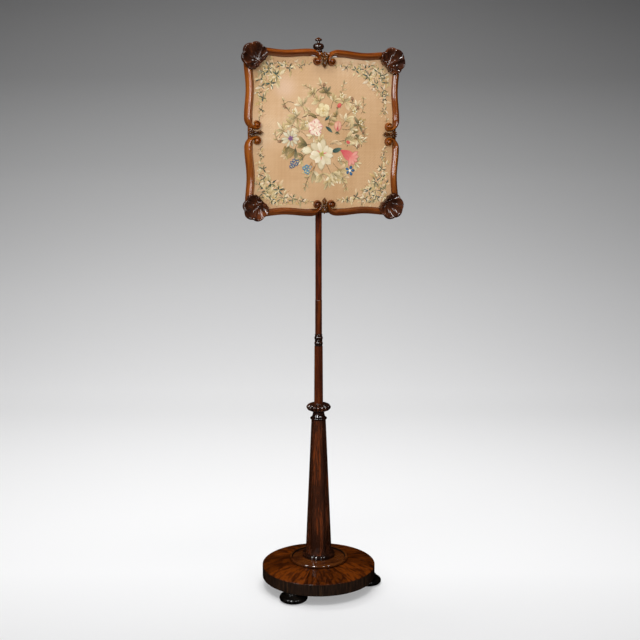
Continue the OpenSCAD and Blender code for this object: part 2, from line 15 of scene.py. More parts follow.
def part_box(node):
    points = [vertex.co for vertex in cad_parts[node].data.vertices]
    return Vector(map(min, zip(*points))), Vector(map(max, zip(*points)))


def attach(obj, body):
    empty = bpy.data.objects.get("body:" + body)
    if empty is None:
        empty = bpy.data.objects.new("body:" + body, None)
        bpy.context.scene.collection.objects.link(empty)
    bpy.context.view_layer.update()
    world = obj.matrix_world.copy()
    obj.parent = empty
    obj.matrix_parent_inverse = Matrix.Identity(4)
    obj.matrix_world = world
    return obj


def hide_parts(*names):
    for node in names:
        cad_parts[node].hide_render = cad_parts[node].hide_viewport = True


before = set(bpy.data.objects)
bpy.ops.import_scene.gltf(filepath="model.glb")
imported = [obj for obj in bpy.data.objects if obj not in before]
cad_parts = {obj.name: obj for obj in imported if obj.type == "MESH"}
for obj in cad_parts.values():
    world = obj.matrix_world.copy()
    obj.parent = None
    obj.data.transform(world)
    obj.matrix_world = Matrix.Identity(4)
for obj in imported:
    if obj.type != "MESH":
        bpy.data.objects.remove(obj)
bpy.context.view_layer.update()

scene = bpy.context.scene

# %% [markdown]
# ## The camera
# The photograph was taken from a little to the left of the panel's front and from about chest height, with
# a lens that looks slightly down. The numbers come from matching the known heights and widths of the stand
# to their places in the picture, so no lens shift is needed.

# %% Camera
AZIMUTH, DISTANCE, EYE_HEIGHT, PITCH = math.radians(-20.5), 2.788, 1.150, math.radians(8.15)
PAN = math.radians(0.08)
eye = Vector((math.sin(AZIMUTH) * DISTANCE, -math.cos(AZIMUTH) * DISTANCE, EYE_HEIGHT))
camera = bpy.data.objects.new("camera", bpy.data.cameras.new("camera"))
camera.data.lens, camera.data.sensor_width = 58.05, 36.0
camera.location = eye
camera.rotation_euler = (math.pi / 2 - PITCH, 0.0, AZIMUTH - PAN)
scene.collection.objects.link(camera)
scene.camera = camera
print("camera stands at", [round(c, 3) for c in eye])

# %% [markdown]
# ## Colours and nodes
# A colour picked from a picture is an sRGB value, but shaders reckon in linear light, so one function
# turns a hex value to linear. Another adds one node with its settings and its inputs, and every material
# below is written with it.

# %% Colour and node helpers
def linear(shade):
    """Linear RGBA of an sRGB hex value such as "#7a3a12"."""
    parts = [int(shade[i:i + 2], 16) / 255 for i in (1, 3, 5)]
    return [c / 12.92 if c <= 0.04045 else ((c + 0.055) / 1.055) ** 2.4 for c in parts] + [1.0]


def wire(tree, node, inputs):
    """Set a node's inputs by name or number; a node given as a value links its first output."""
    for name, value in inputs.items():
        if isinstance(value, bpy.types.Node):
            value = value.outputs[0]
        if isinstance(value, bpy.types.NodeSocket):
            tree.links.new(value, node.inputs[name])
        else:
            node.inputs[name].default_value = value


def add(tree, kind, inputs, **settings):
    """Add a shader node, give it its settings and wire its inputs."""
    node = tree.nodes.new("ShaderNode" + kind)
    for name, value in settings.items():
        setattr(node, name, value)
    wire(tree, node, inputs)
    return node


def reckon(tree, operation, *values):
    """A maths node on one, two or three values."""
    return add(tree, "Math", dict(enumerate(values)), operation=operation)


def ramp(tree, value, *shades):
    """A colour ramp that reads a value, with its stops as (place, hex value) pairs."""
    node = add(tree, "ValToRGB", {"Fac": value})
    elements = node.color_ramp.elements
    while len(elements) < len(shades):
        elements.new(1.0)
    for element, (place, shade) in zip(elements, shades):
        element.position, element.color = place, linear(shade)
    return node


def new_material(name):
    """An empty node material, with its tree, its Principled shader and its object coordinates."""
    material = bpy.data.materials.new(name)
    material.use_nodes = True
    tree = material.node_tree
    return material, tree, tree.nodes["Principled BSDF"], add(tree, "TexCoord", {}).outputs["Object"]


print("helpers ready, mid grey is", round(linear("#808080")[0], 3))

# %% [markdown]
# ## The studio
# The studio has a paper sweep: white under the stand, and falling off to a mid grey behind the panel. Here it is
# one sheet, bent up behind the stand, whose colour goes from white to grey along its length, a painted fall-off of
# the light.
# Four narrow soft boxes in an arc at the front give the polish its bright spots and streaks. They are kept
# off the paper, so they throw no shadow of the pole on it, and the paper is kept out of the polish, which
# then mirrors only those boxes, as it does in a dark studio. A large box above fills the rest, two more in
# the same place light the paper, and the last one washes the paper behind the stand.

# %% Paper sweep
BMEdge, BMFace, BMVert = bmesh.types.BMEdge, bmesh.types.BMFace, bmesh.types.BMVert
FLOOR_FRONT, BEND_Y, BEND_R, WALL, HALF_WIDTH = -4.5, 2.1, 1.2, 3.5, 5.0


def only(geom, kind):
    """The parts of one kind in what a bmesh operator gives back."""
    return [g for g in geom if isinstance(g, kind)]


def turn_about(bm, angle):
    """Turn a bmesh about the pole's axis."""
    bmesh.ops.rotate(bm, verts=bm.verts, cent=(0, 0, 0), matrix=Matrix.Rotation(angle, 3, "Z"))


def as_object(bm, name):
    """Use up a bmesh and put its shape in the scene as an object."""
    mesh = bpy.data.meshes.new(name)
    bm.to_mesh(mesh)
    bm.free()
    piece = bpy.data.objects.new(name, mesh)
    scene.collection.objects.link(piece)
    return piece


sheet = bmesh.new()
front = sheet.edges.new([sheet.verts.new((x, FLOOR_FRONT, 0.0)) for x in (-HALF_WIDTH, HALF_WIDTH)])
floor_end = bmesh.ops.extrude_edge_only(sheet, edges=[front])["geom"]
bmesh.ops.translate(sheet, verts=only(floor_end, BMVert), vec=(0.0, BEND_Y - FLOOR_FRONT, 0.0))
bent = bmesh.ops.spin(sheet, geom=only(floor_end, BMEdge), cent=(0.0, BEND_Y, BEND_R), axis=(1.0, 0.0, 0.0),
                      angle=math.radians(90), steps=24)["geom_last"]
wall = bmesh.ops.extrude_edge_only(sheet, edges=only(bent, BMEdge))["geom"]
bmesh.ops.translate(sheet, verts=only(wall, BMVert), vec=(0.0, 0.0, WALL))
turn_about(sheet, AZIMUTH)
sweep = as_object(sheet, "paper_sweep")
sweep.data.shade_smooth()
print("paper sweep", [round(d, 2) for d in sweep.dimensions])

# %% Paper with a painted fall-off
# Matt paper whose colour fades from white to grey, a painted fall-off of the light. The fade goes by distance along
# the sweep, which is the height on the wall and the depth on the floor.
FADE_START, FADE_END = -0.4, 5.6
paper, tree, shader, place = new_material("paper_painted_falloff")
square_on = add(tree, "Mapping", {"Vector": place, "Rotation": (0.0, 0.0, -AZIMUTH)})
axes = add(tree, "SeparateXYZ", {"Vector": square_on}).outputs
share = add(tree, "MapRange", {
    "Value": reckon(tree, "ADD", axes["Y"], axes["Z"]), "From Min": FADE_START, "From Max": FADE_END})
# painted shade: the paper darkens from white to grey along its length, standing in for the light's fall-off
fade = ramp(tree, share, (0.0, "#eeeeee"), (0.08, "#fafafa"), (0.475, "#ebebeb"), (0.65, "#d1d1d1"),
            (0.8, "#afafaf"), (0.9, "#808080"), (1.0, "#5c5c5c"))
wire(tree, shader, {"Base Color": fade, "Roughness": 0.9, "Specular IOR Level": 0.1})
sweep.data.materials.append(paper)
print("paper fades over", FADE_END - FADE_START, "m")

# %% Soft boxes
BOX_REACH, BOX_HEIGHT = 3.1, 2.3
ABOVE = (0.0, -0.2, 3.6), (0.0, 0.2, 0.5), (2.2, 1.8)


def soft_box(name, place, aim, size, watts, receivers=None):
    """A large area light that looks at a point, and lights only its receivers where they are given."""
    lamp = bpy.data.lights.new(name, "AREA")
    lamp.shape, lamp.size, lamp.size_y, lamp.energy = "RECTANGLE", size[0], size[1], watts
    box = bpy.data.objects.new(name, lamp)
    box.location = place
    box.rotation_euler = (Vector(aim) - Vector(place)).to_track_quat("-Z", "Y").to_euler()
    scene.collection.objects.link(box)
    if receivers:
        box.light_linking.receiver_collection = receivers
    return box


off_paper = bpy.data.collections.new("all_but_the_paper")
off_paper.objects.link(sweep)
off_paper.collection_objects[0].light_linking.link_state = "EXCLUDE"
on_paper = bpy.data.collections.new("the_paper_alone")
on_paper.objects.link(sweep)
for number, (degrees, size, watts) in enumerate((
        (-72, (0.5, 2.3), 32.0), (-40, (0.34, 2.3), 52.0), (1, (0.26, 1.0), 11.0), (22, (0.26, 1.0), 11.0))):
    turn = math.radians(degrees)
    soft_box(f"front_box_{number}", (BOX_REACH * math.sin(turn), -BOX_REACH * math.cos(turn), BOX_HEIGHT),
             (0.0, 0.0, 0.9), size, watts, off_paper)
overhead = soft_box("overhead_box", *ABOVE, 92.0, off_paper)
# The paper gets that same light from two boxes. The screen doesn't block the second, so its shadow stays pale.
floor_boxes = [soft_box(f"floor_box_{k}", *ABOVE, watts, on_paper) for k, watts in enumerate((42.0, 50.0))]
floor_boxes[1].light_linking.blocker_collection = on_paper
backdrop = soft_box("backdrop_box", (0.0, 2.0, 3.4), (0.0, 2.3, 0.0), (3.0, 1.2), 40.0)
room = bpy.data.worlds.new("studio_room")
scene.world = room
room.use_nodes = True
wire(room.node_tree, room.node_tree.nodes["Background"], {"Color": linear("#e9e9ec"), "Strength": 0.3})
for thing in (sweep, overhead, backdrop, *floor_boxes):
    thing.visible_glossy = False
room.cycles_visibility.glossy = False
scene.view_settings.view_transform = "Standard"

# %% [markdown]
# ## Polished rosewood
# The stand and the frame are rosewood under French polish: a deep, even gloss over brown wood with near
# black streaks along the grain and a red-orange glow where light gets in. Each turned or carved piece has
# its grain along its own length, so the finish is written once, with the grain's direction and three
# shades, and made again for each direction.

# %% Rosewood finish
def polished_rosewood(name, stretch, dark, middle, light, seed, streak=0.5, coat=0.85, soft=0.06):
    """French-polished rosewood. stretch divides the pattern along the grain, as an XYZ scale."""
    material, tree, shader, place = new_material(name)
    grain = add(tree, "Mapping", {"Vector": place, "Location": (seed, seed * 0.7, seed * 0.3), "Scale": stretch})
    # broad figure about 12 mm wide, bent a little so that it never runs dead straight
    figure = add(tree, "TexNoise", {
        "Vector": grain, "Scale": 80.0, "Detail": 5.0, "Roughness": 0.6, "Distortion": 0.5})
    # dark pore lines, about 1.5 mm apart here and finer on real wood, drawn coarser so that they show
    pores = add(tree, "TexNoise", {"Vector": grain, "Scale": 620.0, "Detail": 3.0, "Roughness": 0.7})
    both = add(tree, "Mix", {0: 0.32, 2: figure, 3: pores}, data_type="FLOAT")
    tone = ramp(tree, both, (0.34, dark), (streak, middle), (0.66, light))
    # old polish has darkened in patches of some 90 mm
    patina = add(tree, "TexNoise", {"Vector": place, "Scale": 11.0, "Detail": 2.0})
    patch = add(tree, "MapRange", {
        "Value": patina, "From Min": 0.3, "From Max": 0.7, "To Min": 0.72, "To Max": 1.12})
    wire(tree, shader, {
        "Base Color": add(tree, "VectorMath", {0: tone, "Scale": patch}, operation="SCALE"),
        # the polish fills most of the pores, so they dent the surface only a little
        "Normal": add(tree, "Bump", {"Strength": 0.12, "Distance": 0.0004, "Height": pores}),
        "Roughness": 0.45, "Specular IOR Level": 0.1, "Coat Weight": coat, "Coat Roughness": soft,
        # many layers of shellac, rubbed to a mirror, give back more light than one plain coat does
        "Coat IOR": 2.1})
    return material


UPRIGHT, LYING, TURNED, CARVED = (1.0, 1.0, 0.07), (0.07, 1.0, 1.0), (0.4, 0.4, 1.0), (0.5, 0.5, 0.5)
pole_wood = polished_rosewood("rosewood_pole", UPRIGHT, "#220802", "#5a210a", "#883c12", 1.0)
lower_wood = polished_rosewood("rosewood_lower_pole", UPRIGHT, "#1c0903", "#501f08", "#723a10", 2.0)
column_wood = polished_rosewood("rosewood_column", UPRIGHT, "#180b06", "#3c1c0c", "#7c3810", 3.0, 0.54)
rail_upright = polished_rosewood("rosewood_rail_upright", UPRIGHT, "#4d1c05", "#763909", "#9a5411", 4.0, 0.48,
                                 coat=0.42, soft=0.1)
rail_lying = polished_rosewood("rosewood_rail_lying", LYING, "#361304", "#602b05", "#7d410b", 5.0, 0.48,
                               coat=0.5, soft=0.16)
carved_wood = polished_rosewood("rosewood_carving", CARVED, "#1a0b06", "#43200f", "#6e3818", 6.0, 0.52,
                                coat=0.45, soft=0.09)
turned_wood = polished_rosewood("rosewood_turning", TURNED, "#100704", "#30170a", "#5c2d11", 7.0)
print("rosewood finishes:", len([m for m in bpy.data.materials if m.name.startswith("rosewood")]))

# %% [markdown]
# ## Radial veneer
# The base's top is laid in wedges of one veneer, each with its grain running out from the middle, so light
# and dark wedges alternate and meet in fine glue lines. The angle about the pole picks the wedge, and each
# wedge reads the same wood at another place and mirrored from its neighbour, as a book-matched set does.

# %% Wedge veneer finish
WEDGES, STAND_TURN = 8, math.radians(100)
veneer, tree, shader, place = new_material("rosewood_veneer_wedges")
square_on = add(tree, "Mapping", {"Vector": place, "Rotation": (0.0, 0.0, -STAND_TURN)})
axes = add(tree, "SeparateXYZ", {"Vector": square_on}).outputs
turns = reckon(tree, "MULTIPLY", reckon(tree, "ARCTAN2", axes["Y"], axes["X"]), WEDGES / math.tau)
number = reckon(tree, "FLOOR", turns)
level = add(tree, "VectorMath", {0: place, 1: (1.0, 1.0, 0.0)}, operation="MULTIPLY")
radius = add(tree, "VectorMath", {0: level}, operation="LENGTH").outputs["Value"]
wedge_place = add(tree, "CombineXYZ", {"X": reckon(tree, "PINGPONG", turns, 1.0), "Y": radius, "Z": number})
# these three scale the wood across a wedge, along it, and from one wedge to the next
wood_place = add(tree, "VectorMath", {0: wedge_place, 1: (1.5, 4.4, 0.37)}, operation="MULTIPLY")
figure = add(tree, "TexNoise", {
    "Vector": wood_place, "Scale": 7.0, "Detail": 6.0, "Roughness": 0.62, "Distortion": 0.5})
tone = ramp(tree, figure, (0.28, "#170601"), (0.45, "#371503"), (0.58, "#5e2a04"), (0.75, "#3a1503"))
every_other = reckon(tree, "PINGPONG", number, 1.0)
lightness = add(tree, "MapRange", {"Value": every_other, "To Min": 1.0, "To Max": 0.62})
# glue lines about 1 mm wide, drawn wider than real ones so that they show
edge_near = reckon(tree, "PINGPONG", reckon(tree, "FRACT", turns), 0.5)
glue = add(tree, "MapRange", {
    "Value": reckon(tree, "MULTIPLY", edge_near, radius), "From Min": 0.0004, "From Max": 0.0011,
    "To Min": 0.35, "To Max": 1.0})
dimmed = reckon(tree, "MULTIPLY", lightness, glue)
wire(tree, shader, {
    "Base Color": add(tree, "VectorMath", {0: tone, "Scale": dimmed}, operation="SCALE"),
    "Normal": add(tree, "Bump", {"Strength": 0.02, "Distance": 0.0005, "Height": figure}),
    "Roughness": 0.42, "Specular IOR Level": 0.12, "Coat Weight": 0.25, "Coat Roughness": 0.16})
print("veneer wedges:", WEDGES)

# %% [markdown]
# ## The plainer finishes
# Ebonised feet are beech stained black and polished. The base's core and the strainer are pine, which
# only shows underneath and behind. The fittings are lacquered brass that has gone a little brown.

# %% Black, pine and brass
def streaked(name, stretch, shades, roughness, coat, metal=0.0, scale=90.0, bump=0.1):
    """A finish with streaks along one direction, from dark to light."""
    material, tree, shader, place = new_material(name)
    grain = add(tree, "Mapping", {"Vector": place, "Scale": stretch})
    lines = add(tree, "TexNoise", {
        "Vector": grain, "Scale": scale, "Detail": 4.0, "Roughness": 0.6, "Distortion": 0.3})
    wire(tree, shader, {
        "Base Color": ramp(tree, lines, *zip((0.32, 0.52, 0.7), shades)),
        "Normal": add(tree, "Bump", {"Strength": bump, "Distance": 0.0005, "Height": lines}),
        "Metallic": metal, "Roughness": roughness, "Specular IOR Level": 0.5 if metal else 0.15,
        "Coat Weight": coat, "Coat Roughness": 0.06})
    return material


def sawn_pine(name, stretch, *shades):
    """Plain pine with its grain in one direction."""
    return streaked(name, stretch, shades, 0.62, 0.0, scale=140.0, bump=0.3)


PINE_ACROSS = (0.06, 1.0, 1.0)
black_polish = streaked("ebonised_beech", (1.0, 1.0, 0.3), ("#050302", "#0a0705", "#140d08"), 0.4, 0.8)
band_wood = streaked("rosewood_edge_band", (1.0, 1.0, 0.08), ("#120a06", "#24160d", "#392413"), 0.45, 0.5,
                     scale=200.0)
pine = sawn_pine("pine", PINE_ACROSS, "#8a6236", "#b08a58", "#c9a878")
pine_upright = sawn_pine("pine_upright", (1.0, 1.0, 0.06), "#8a6236", "#b08a58", "#c9a878")
brass = streaked("lacquered_brass", (1.0, 0.2, 1.0), ("#8a6a30", "#b58d45", "#cfa95c"), 0.3, 0.25, 1.0, 400.0, 0.05)
print("plain finishes:", [m.name for m in (black_polish, band_wood, pine, pine_upright, brass)])

# %% [markdown]
# ## Turned work
# Feet, mouldings, poles and finial come off a lathe, so each is a half profile spun about the pole. Their
# heights are read from the CAD nodes, and the radii are the CAD sizes, in millimetres. A bead is a half
# round between two heights. Two small helpers finish every piece: one spins, and one turns a bmesh into an
# object that rides on its body and stands for its CAD nodes.

# %% Lathe helpers
MM = 0.001


def heights(node):
    """Lowest and highest point of a CAD node, in millimetres."""
    low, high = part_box(node)
    return low[2] / MM, high[2] / MM


def arc(radius, height, wide, tall, degrees):
    """Profile points on an oval about (radius, height), at angles in degrees."""
    return [(radius + wide * math.cos(a), height + tall * math.sin(a)) for a in map(math.radians, degrees)]


def bead(radius, low, high, steps=10):
    """Profile points over a half-round bead that reaches a radius between two heights."""
    half = (high - low) / 2
    return arc(radius - half, low + half, half, half, [180 * i / steps - 90 for i in range(steps + 1)])


def barrel(radius, depth, low, high):
    """A flattened bead between two heights."""
    return arc(radius - depth, (low + high) / 2, depth, (high - low) / 2, range(-80, 81, 16))


def spun(points, steps):
    """Join points in a line and spin it about the upright axis."""
    bm = bmesh.new()
    line = [bm.verts.new(p) for p in points]
    edges = [bm.edges.new(pair) for pair in zip(line, line[1:])]
    bmesh.ops.spin(bm, geom=line + edges, cent=(0, 0, 0), axis=(0, 0, 1), angle=math.tau, steps=steps,
                   use_merge=True)
    return bm


def lathe(profile, steps=96):
    """Spin a profile of (radius, height) points in millimetres about the pole's axis."""
    return spun([(r * MM, 0.0, z * MM) for r, z in profile], steps)


def finish(bm, name, material, body, nodes=(), sharp=35.0, closed=True):
    """Merge, turn a closed shape outward, and make the piece: it rides on a body and stands for CAD nodes."""
    if closed:
        bmesh.ops.remove_doubles(bm, verts=bm.verts, dist=2e-6)
        bmesh.ops.dissolve_degenerate(bm, edges=bm.edges, dist=1e-6)
        bmesh.ops.recalc_face_normals(bm, faces=bm.faces)
    piece = as_object(bm, name)
    piece.data.shade_smooth()
    piece.data.set_sharp_from_angle(angle=math.radians(sharp))
    piece.data.materials.append(material)
    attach(piece, body)
    if nodes:
        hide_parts(*nodes)
    print(name, len(piece.data.polygons), "faces")
    return piece


def second_finish(piece, material, where):
    """Give a second finish to the faces whose centres are where it belongs."""
    piece.data.materials.append(material)
    for face in piece.data.polygons:
        if where(face.center):
            face.material_index = 1


print("base stands", heights("base_core"), "mm above the floor")

# %% [markdown]
# ## The bun feet
# Each foot is a wide flattened bun with a small ring on it and a groove between, stained black. It is spun
# about the pole and then moved out to its place under the base.

# %% Bun feet
FOOT_CIRCLE, FOOT_R = 138.0, 38.5
for number, node in enumerate(("foot_back", "foot_front", "foot_right")):
    foot = lathe([(0, 0), (27, 0)] + arc(FOOT_R - 9.0, 8.0, 9.0, 8.0, range(-84, 61, 12))
                 + [(31.6, 16.4), (28.6, 18.0), (25.6, 19.0), (24.2, 19.3), (23.8, 19.8)]
                 + bead(25.3, 20.0, 24.8, 8)[1:-1] + [(22.8, 25.0), (9, 25.0), (9, 41.0), (0, 41.0)], 72)
    turn = STAND_TURN + math.tau / 3 * number
    bmesh.ops.translate(foot, verts=foot.verts, vec=(
        FOOT_CIRCLE * MM * math.cos(turn), FOOT_CIRCLE * MM * math.sin(turn), 0.0))
    finish(foot, "bun_" + node, black_polish, "stand", [node])

# %% [markdown]
# ## The round base
# The core keeps its CAD shape. Over it lies the domed top in veneer wedges, with its edge rounded over by
# years of dusting, and a band of crossed veneer runs round the upright edge.

# %% Base top and edge
BASE_R, PLINTH_R, RIM_Z, TOP_Z, VENEER, ARRIS = 158.0, 82.0, 58.0, 72.0, 1.2, 1.4


def dome(radius):
    """Height of the domed top at a radius, in millimetres."""
    return TOP_Z - (TOP_Z - RIM_Z) * max(0.0, (radius - PLINTH_R) / (BASE_R - PLINTH_R)) ** 1.7


rings = [20.0] + [PLINTH_R + (BASE_R - ARRIS - PLINTH_R) * i / 14 for i in range(15)]
outer = [(r, dome(r)) for r in rings]
arris = arc(BASE_R - ARRIS, dome(BASE_R - ARRIS) - ARRIS, ARRIS, ARRIS, (70, 45, 20, 0))
under = [(BASE_R - 0.1, RIM_Z - 1.6)] + [(r, dome(r) - VENEER + 0.02) for r in reversed(rings)]
top = lathe(outer + arris + under + outer[:1], 128)
finish(top, "veneered_top", veneer, "stand", ["top_veneer"], 50.0)
band = lathe([(BASE_R - 1.2, 25.0), (BASE_R - 0.5, 25.0), (BASE_R, 25.6), (BASE_R, RIM_Z - 1.9),
              (BASE_R - 0.3, RIM_Z - 1.5), (BASE_R - 1.2, RIM_Z - 1.3), (BASE_R - 1.2, 25.0)], 128)
finish(band, "edge_veneer_band", band_wood, "stand", ["edge_band"])

# %% [markdown]
# ## Plinth and bead ring
# The plinth is a shallow dish inside a stout bead, and the column stands in its middle on a smaller ring.
# A quirk, a small sharp groove, sets the plinth's bead off from the dish, and a small cove spreads under the ring.

# %% Plinth and ring
low, high = heights("plinth")
plinth = lathe([(15, low), (PLINTH_R - 6, low), (PLINTH_R - 4.6, low + 0.1)]
               + bead(PLINTH_R, low, high, 14)[1:]
               + [(PLINTH_R - 7.0, high - 0.8), (PLINTH_R - 8.6, high - 3.2), (PLINTH_R - 9.4, high - 4.4),
                  (PLINTH_R - 10.4, high - 4.2), (62, high - 3.4), (54, high - 1.9), (48, high - 0.2), (46.5, high),
                  (15, high), (15, low)], 128)
plinth_wood = polished_rosewood("rosewood_plinth", (0.1, 0.6, 1.0), "#200c04", "#45200a", "#5e320d", 8.0, 0.48)
plinth = finish(plinth, "turned_plinth", plinth_wood, "stand", ["plinth"])
# painted shade: the quirk and the foot of the bead are painted near black, where shade falls
groove_shade = streaked("painted_shade_in_grooves", (1.0, 1.0, 1.0), ("#060302", "#0e0704", "#1a0d06"), 0.6, 0.1)
foot_line = (low + 1.6) * MM


def in_groove(place):
    """Whether a place on the plinth lies in the quirk or under the bead."""
    out = math.hypot(place.x, place.y) / MM
    return PLINTH_R - 9.6 < out < PLINTH_R - 6.8 or (out > PLINTH_R - 4 and place.z < foot_line)


# painted shade on the plinth's quirk and under its bead
second_finish(plinth, groove_shade, in_groove)
low, high = heights("foot_ring")
ring = lathe([(15, low), (45.4, low), (45.5, low + 0.5), (43.8, low + 1.2), (42.8, low + 2.4)]
             + bead(45.2, low + 2.6, high, 14)[1:] + [(39.6, high - 0.3), (15, high), (15, low)])
ring_wood = polished_rosewood("rosewood_ring", TURNED, "#0d0604", "#221008", "#46220f", 9.0, 0.52)
finish(ring, "turned_bead_ring", ring_wood, "stand", ["foot_ring"])

# %% [markdown]
# ## The six-sided column
# The column tapers on six flat sides and meets a round flare at its foot, so a pointed tongue of the round
# shows at the bottom of each flat. A six-sided cone is bevelled along its edges, and a Boolean joins it to
# the round cone, which gives the tongues just as the maker's plane does.

# %% Column
def merged(piece, other, operation):
    """Apply a Boolean with another bmesh's shape and return the result as a new bmesh."""
    shapes = []
    for bm in (piece, other):
        bmesh.ops.remove_doubles(bm, verts=bm.verts, dist=2e-6)
        bmesh.ops.recalc_face_normals(bm, faces=bm.faces)
        shapes.append(as_object(bm, "blank"))
    cut = shapes[0].modifiers.new("cut", "BOOLEAN")
    cut.object, cut.operation, cut.solver = shapes[1], operation, "EXACT"
    bpy.context.view_layer.update()
    result = bmesh.new()
    result.from_object(shapes[0], bpy.context.evaluated_depsgraph_get())
    for shape in shapes:
        bpy.data.objects.remove(shape)
    return result


def cone(sides, wide, narrow, low, high):
    """A closed cone between two heights, in millimetres, with one side's corner on the X axis."""
    bm = bmesh.new()
    bmesh.ops.create_cone(bm, cap_ends=True, segments=sides, radius1=wide * MM, radius2=narrow * MM,
                          depth=(high - low) * MM)
    corner = max(bm.verts, key=lambda v: v.co.x - abs(v.co.y) * 10)
    turn_about(bm, -math.atan2(corner.co.y, corner.co.x))
    bmesh.ops.translate(bm, verts=bm.verts, vec=(0, 0, (low + high) / 2 * MM))
    return bm


def eased(bm, edges, offset):
    """Round some edges over."""
    bmesh.ops.bevel(bm, geom=edges, offset=offset, offset_type="OFFSET", segments=3, profile=0.5,
                    affect="EDGES", material=-1)


ring_top, column_top = heights("foot_ring")[1], heights("column")[1]
shaft = cone(6, 36.7, 20.2, ring_top, column_top)
turn_about(shaft, STAND_TURN)
eased(shaft, [e for e in shaft.edges if abs(e.verts[0].co.z - e.verts[1].co.z) > 0.1], 1.1 * MM)
column = merged(shaft, cone(96, 37.5, 28.6, ring_top, ring_top + 30), "UNION")
column = merged(column, cone(48, 14, 14, heights("column")[0], ring_top + 0.5), "UNION")
finish(column, "six_sided_column", column_wood, "stand", ["column"], sharp=12.0)

# %% [markdown]
# ## Collar and knop
# A thin collar ring and a hollow neck top the column, and on them sits the knop, a flattened ball cut into round
# lobes that taper to its top and bottom: gadroons. The ball is spun with ten points to each lobe, and a
# cusp pressed in between the lobes makes the sharp valleys that a carver cuts.

# %% Collar
low, high = heights("collar")
collar = lathe([(0, low), (20.2, low)] + bead(23.25, low, low + 5.8)[1:-1]
               + [(20.0, low + 5.9), (19.5, low + 6.3)]
               + [(15.7 + 3.6 * (1 - i / 8) ** 2.2, low + 6.3 + (high - low - 8.3) * i / 8) for i in range(1, 9)]
               + [(16.3, high - 1.4), (16.5, high - 0.6), (16.4, high), (0, high)])
finish(collar, "turned_collar", ring_wood, "stand", ["collar"])

# %% Gadrooned knop
LOBES, KNOP_R, NECK_R, VALLEY = 16, 33.8, 16.5, 7.2
low, high = heights("knop")


def lobe(place):
    """1 on the crown of a lobe and 0 in the valley between two lobes."""
    return abs(math.cos(math.atan2(place.y, place.x) * LOBES / 2))


shares = [(1 - math.cos(math.pi * i / 18)) / 2 for i in range(19)]
side = [(NECK_R + (KNOP_R - NECK_R) * math.sqrt(max(0.0, 1 - (2 * t - 1) ** 2)), low + (high - low) * t)
        for t in shares]
ball = lathe([(0, low)] + side + [(0, high)], LOBES * 10)
for point in ball.verts:
    out = math.hypot(point.co.x, point.co.y)
    if out > NECK_R * MM:
        depth = (out / MM - NECK_R) / (KNOP_R - NECK_R)
        shrink = 1 - VALLEY * MM * depth * (1 - lobe(point.co)) ** 1.1 / out
        point.co.x, point.co.y = point.co.x * shrink, point.co.y * shrink
knop = finish(ball, "gadrooned_knop", turned_wood, "stand", ["knop"], sharp=60.0)
# the valleys between the lobes get the same painted shade
second_finish(knop, groove_shade, lambda place: lobe(place) < 0.3)

# %% [markdown]
# ## The poles and the finial
# The lower pole swells slightly to its foot and ends in a cluster of rings, which hides the joint where the
# upper part turns. Two plain lengths carry the panel, and a finial like an acorn with a button on it closes
# the top. Only profiles are needed for these.

# %% Poles
low, high = heights("lower_pole")
foot_z, cluster = heights("knop")[1], high - 33.0
lower = lathe([(0, low), (8, low), (8, foot_z), (12.3, foot_z), (11.35, cluster), (10.4, cluster + 0.4),
               (10.4, cluster + 1.4)] + barrel(11.7, 2.4, cluster + 1.5, cluster + 12.5) + [(9.6, cluster + 13.2)]
              + barrel(10.9, 1.2, cluster + 13.4, cluster + 16.0) + [(9.6, cluster + 16.4)]
              + barrel(11.7, 2.4, cluster + 16.6, cluster + 27.0) + [(9.4, cluster + 27.4)]
              + barrel(10.5, 1.6, cluster + 27.8, high - 0.1) + [(6.1, high), (6.1, high - 43), (0, high - 43)])
lower = finish(lower, "lower_pole_with_rings", lower_wood, "stand", ["lower_pole"])
second_finish(lower, ring_wood, lambda place: place.z > cluster * MM)
shoulder = high + 0.3
low, high = heights("middle_pole")
# a ring 1 mm from each small bevel keeps the bevel's shading off the long plain face
middle = lathe([(0, low), (5.8, low), (6, low + 0.4), (6, shoulder), (9.1, shoulder), (9.3, shoulder + 0.4),
                (9.299, shoulder + 1.4), (9.221, high - 1.5), (9.22, high - 0.5), (9.0, high), (0, high)])
finish(middle, "middle_pole_length", lower_wood, "pole", ["middle_pole"])
joint_z = high
low, high = heights("upper_pole")
upper = lathe([(0, low), (6, low), (6, joint_z), (8.4, joint_z), (8.75, joint_z + 0.5), (8.75, joint_z + 1.5),
               (8.75, high), (0, high)])
finish(upper, "upper_pole_length", pole_wood, "pole", ["upper_pole"])

# %% Finial
foot_z = high
low, high = heights("finial")
finial = lathe([(0, low), (4, low), (4, foot_z), (9.6, foot_z)] + bead(10.4, foot_z + 0.1, foot_z + 4.6, 8)
               + [(8.6, foot_z + 5.2), (8.8, foot_z + 6.2)]
               + arc(14.5 - 7.1, foot_z + 14.0, 7.1, 7.9, range(-66, 91, 12))
               + [(5.4, foot_z + 22.3), (4.0, foot_z + 23.4), (3.4, foot_z + 25.5), (3.6, foot_z + 27.2),
                  (5.2, foot_z + 28.2)] + bead(9.2, foot_z + 28.4, foot_z + 34.6)[1:-1]
               + [(5.0, foot_z + 35.2), (3.2, foot_z + 36.4), (1.6, foot_z + 37.5), (0, high)])
finish(finial, "turned_finial", turned_wood, "pole", ["finial"])

# %% [markdown]
# ## The frame's rails
# Each rail is one carved scroll: a moulding with a soft ridge that waves gently along its side, turns in at
# the middle, narrows to a strap and curls up into a ball. It is drawn flat, as the top rail, in millimetres,
# with u to the right, v up and the depth forward of the pole, and then stood up in the panel's plane. One
# section is carried along the stations of the curve: its end face is extruded, and its points are set at each.

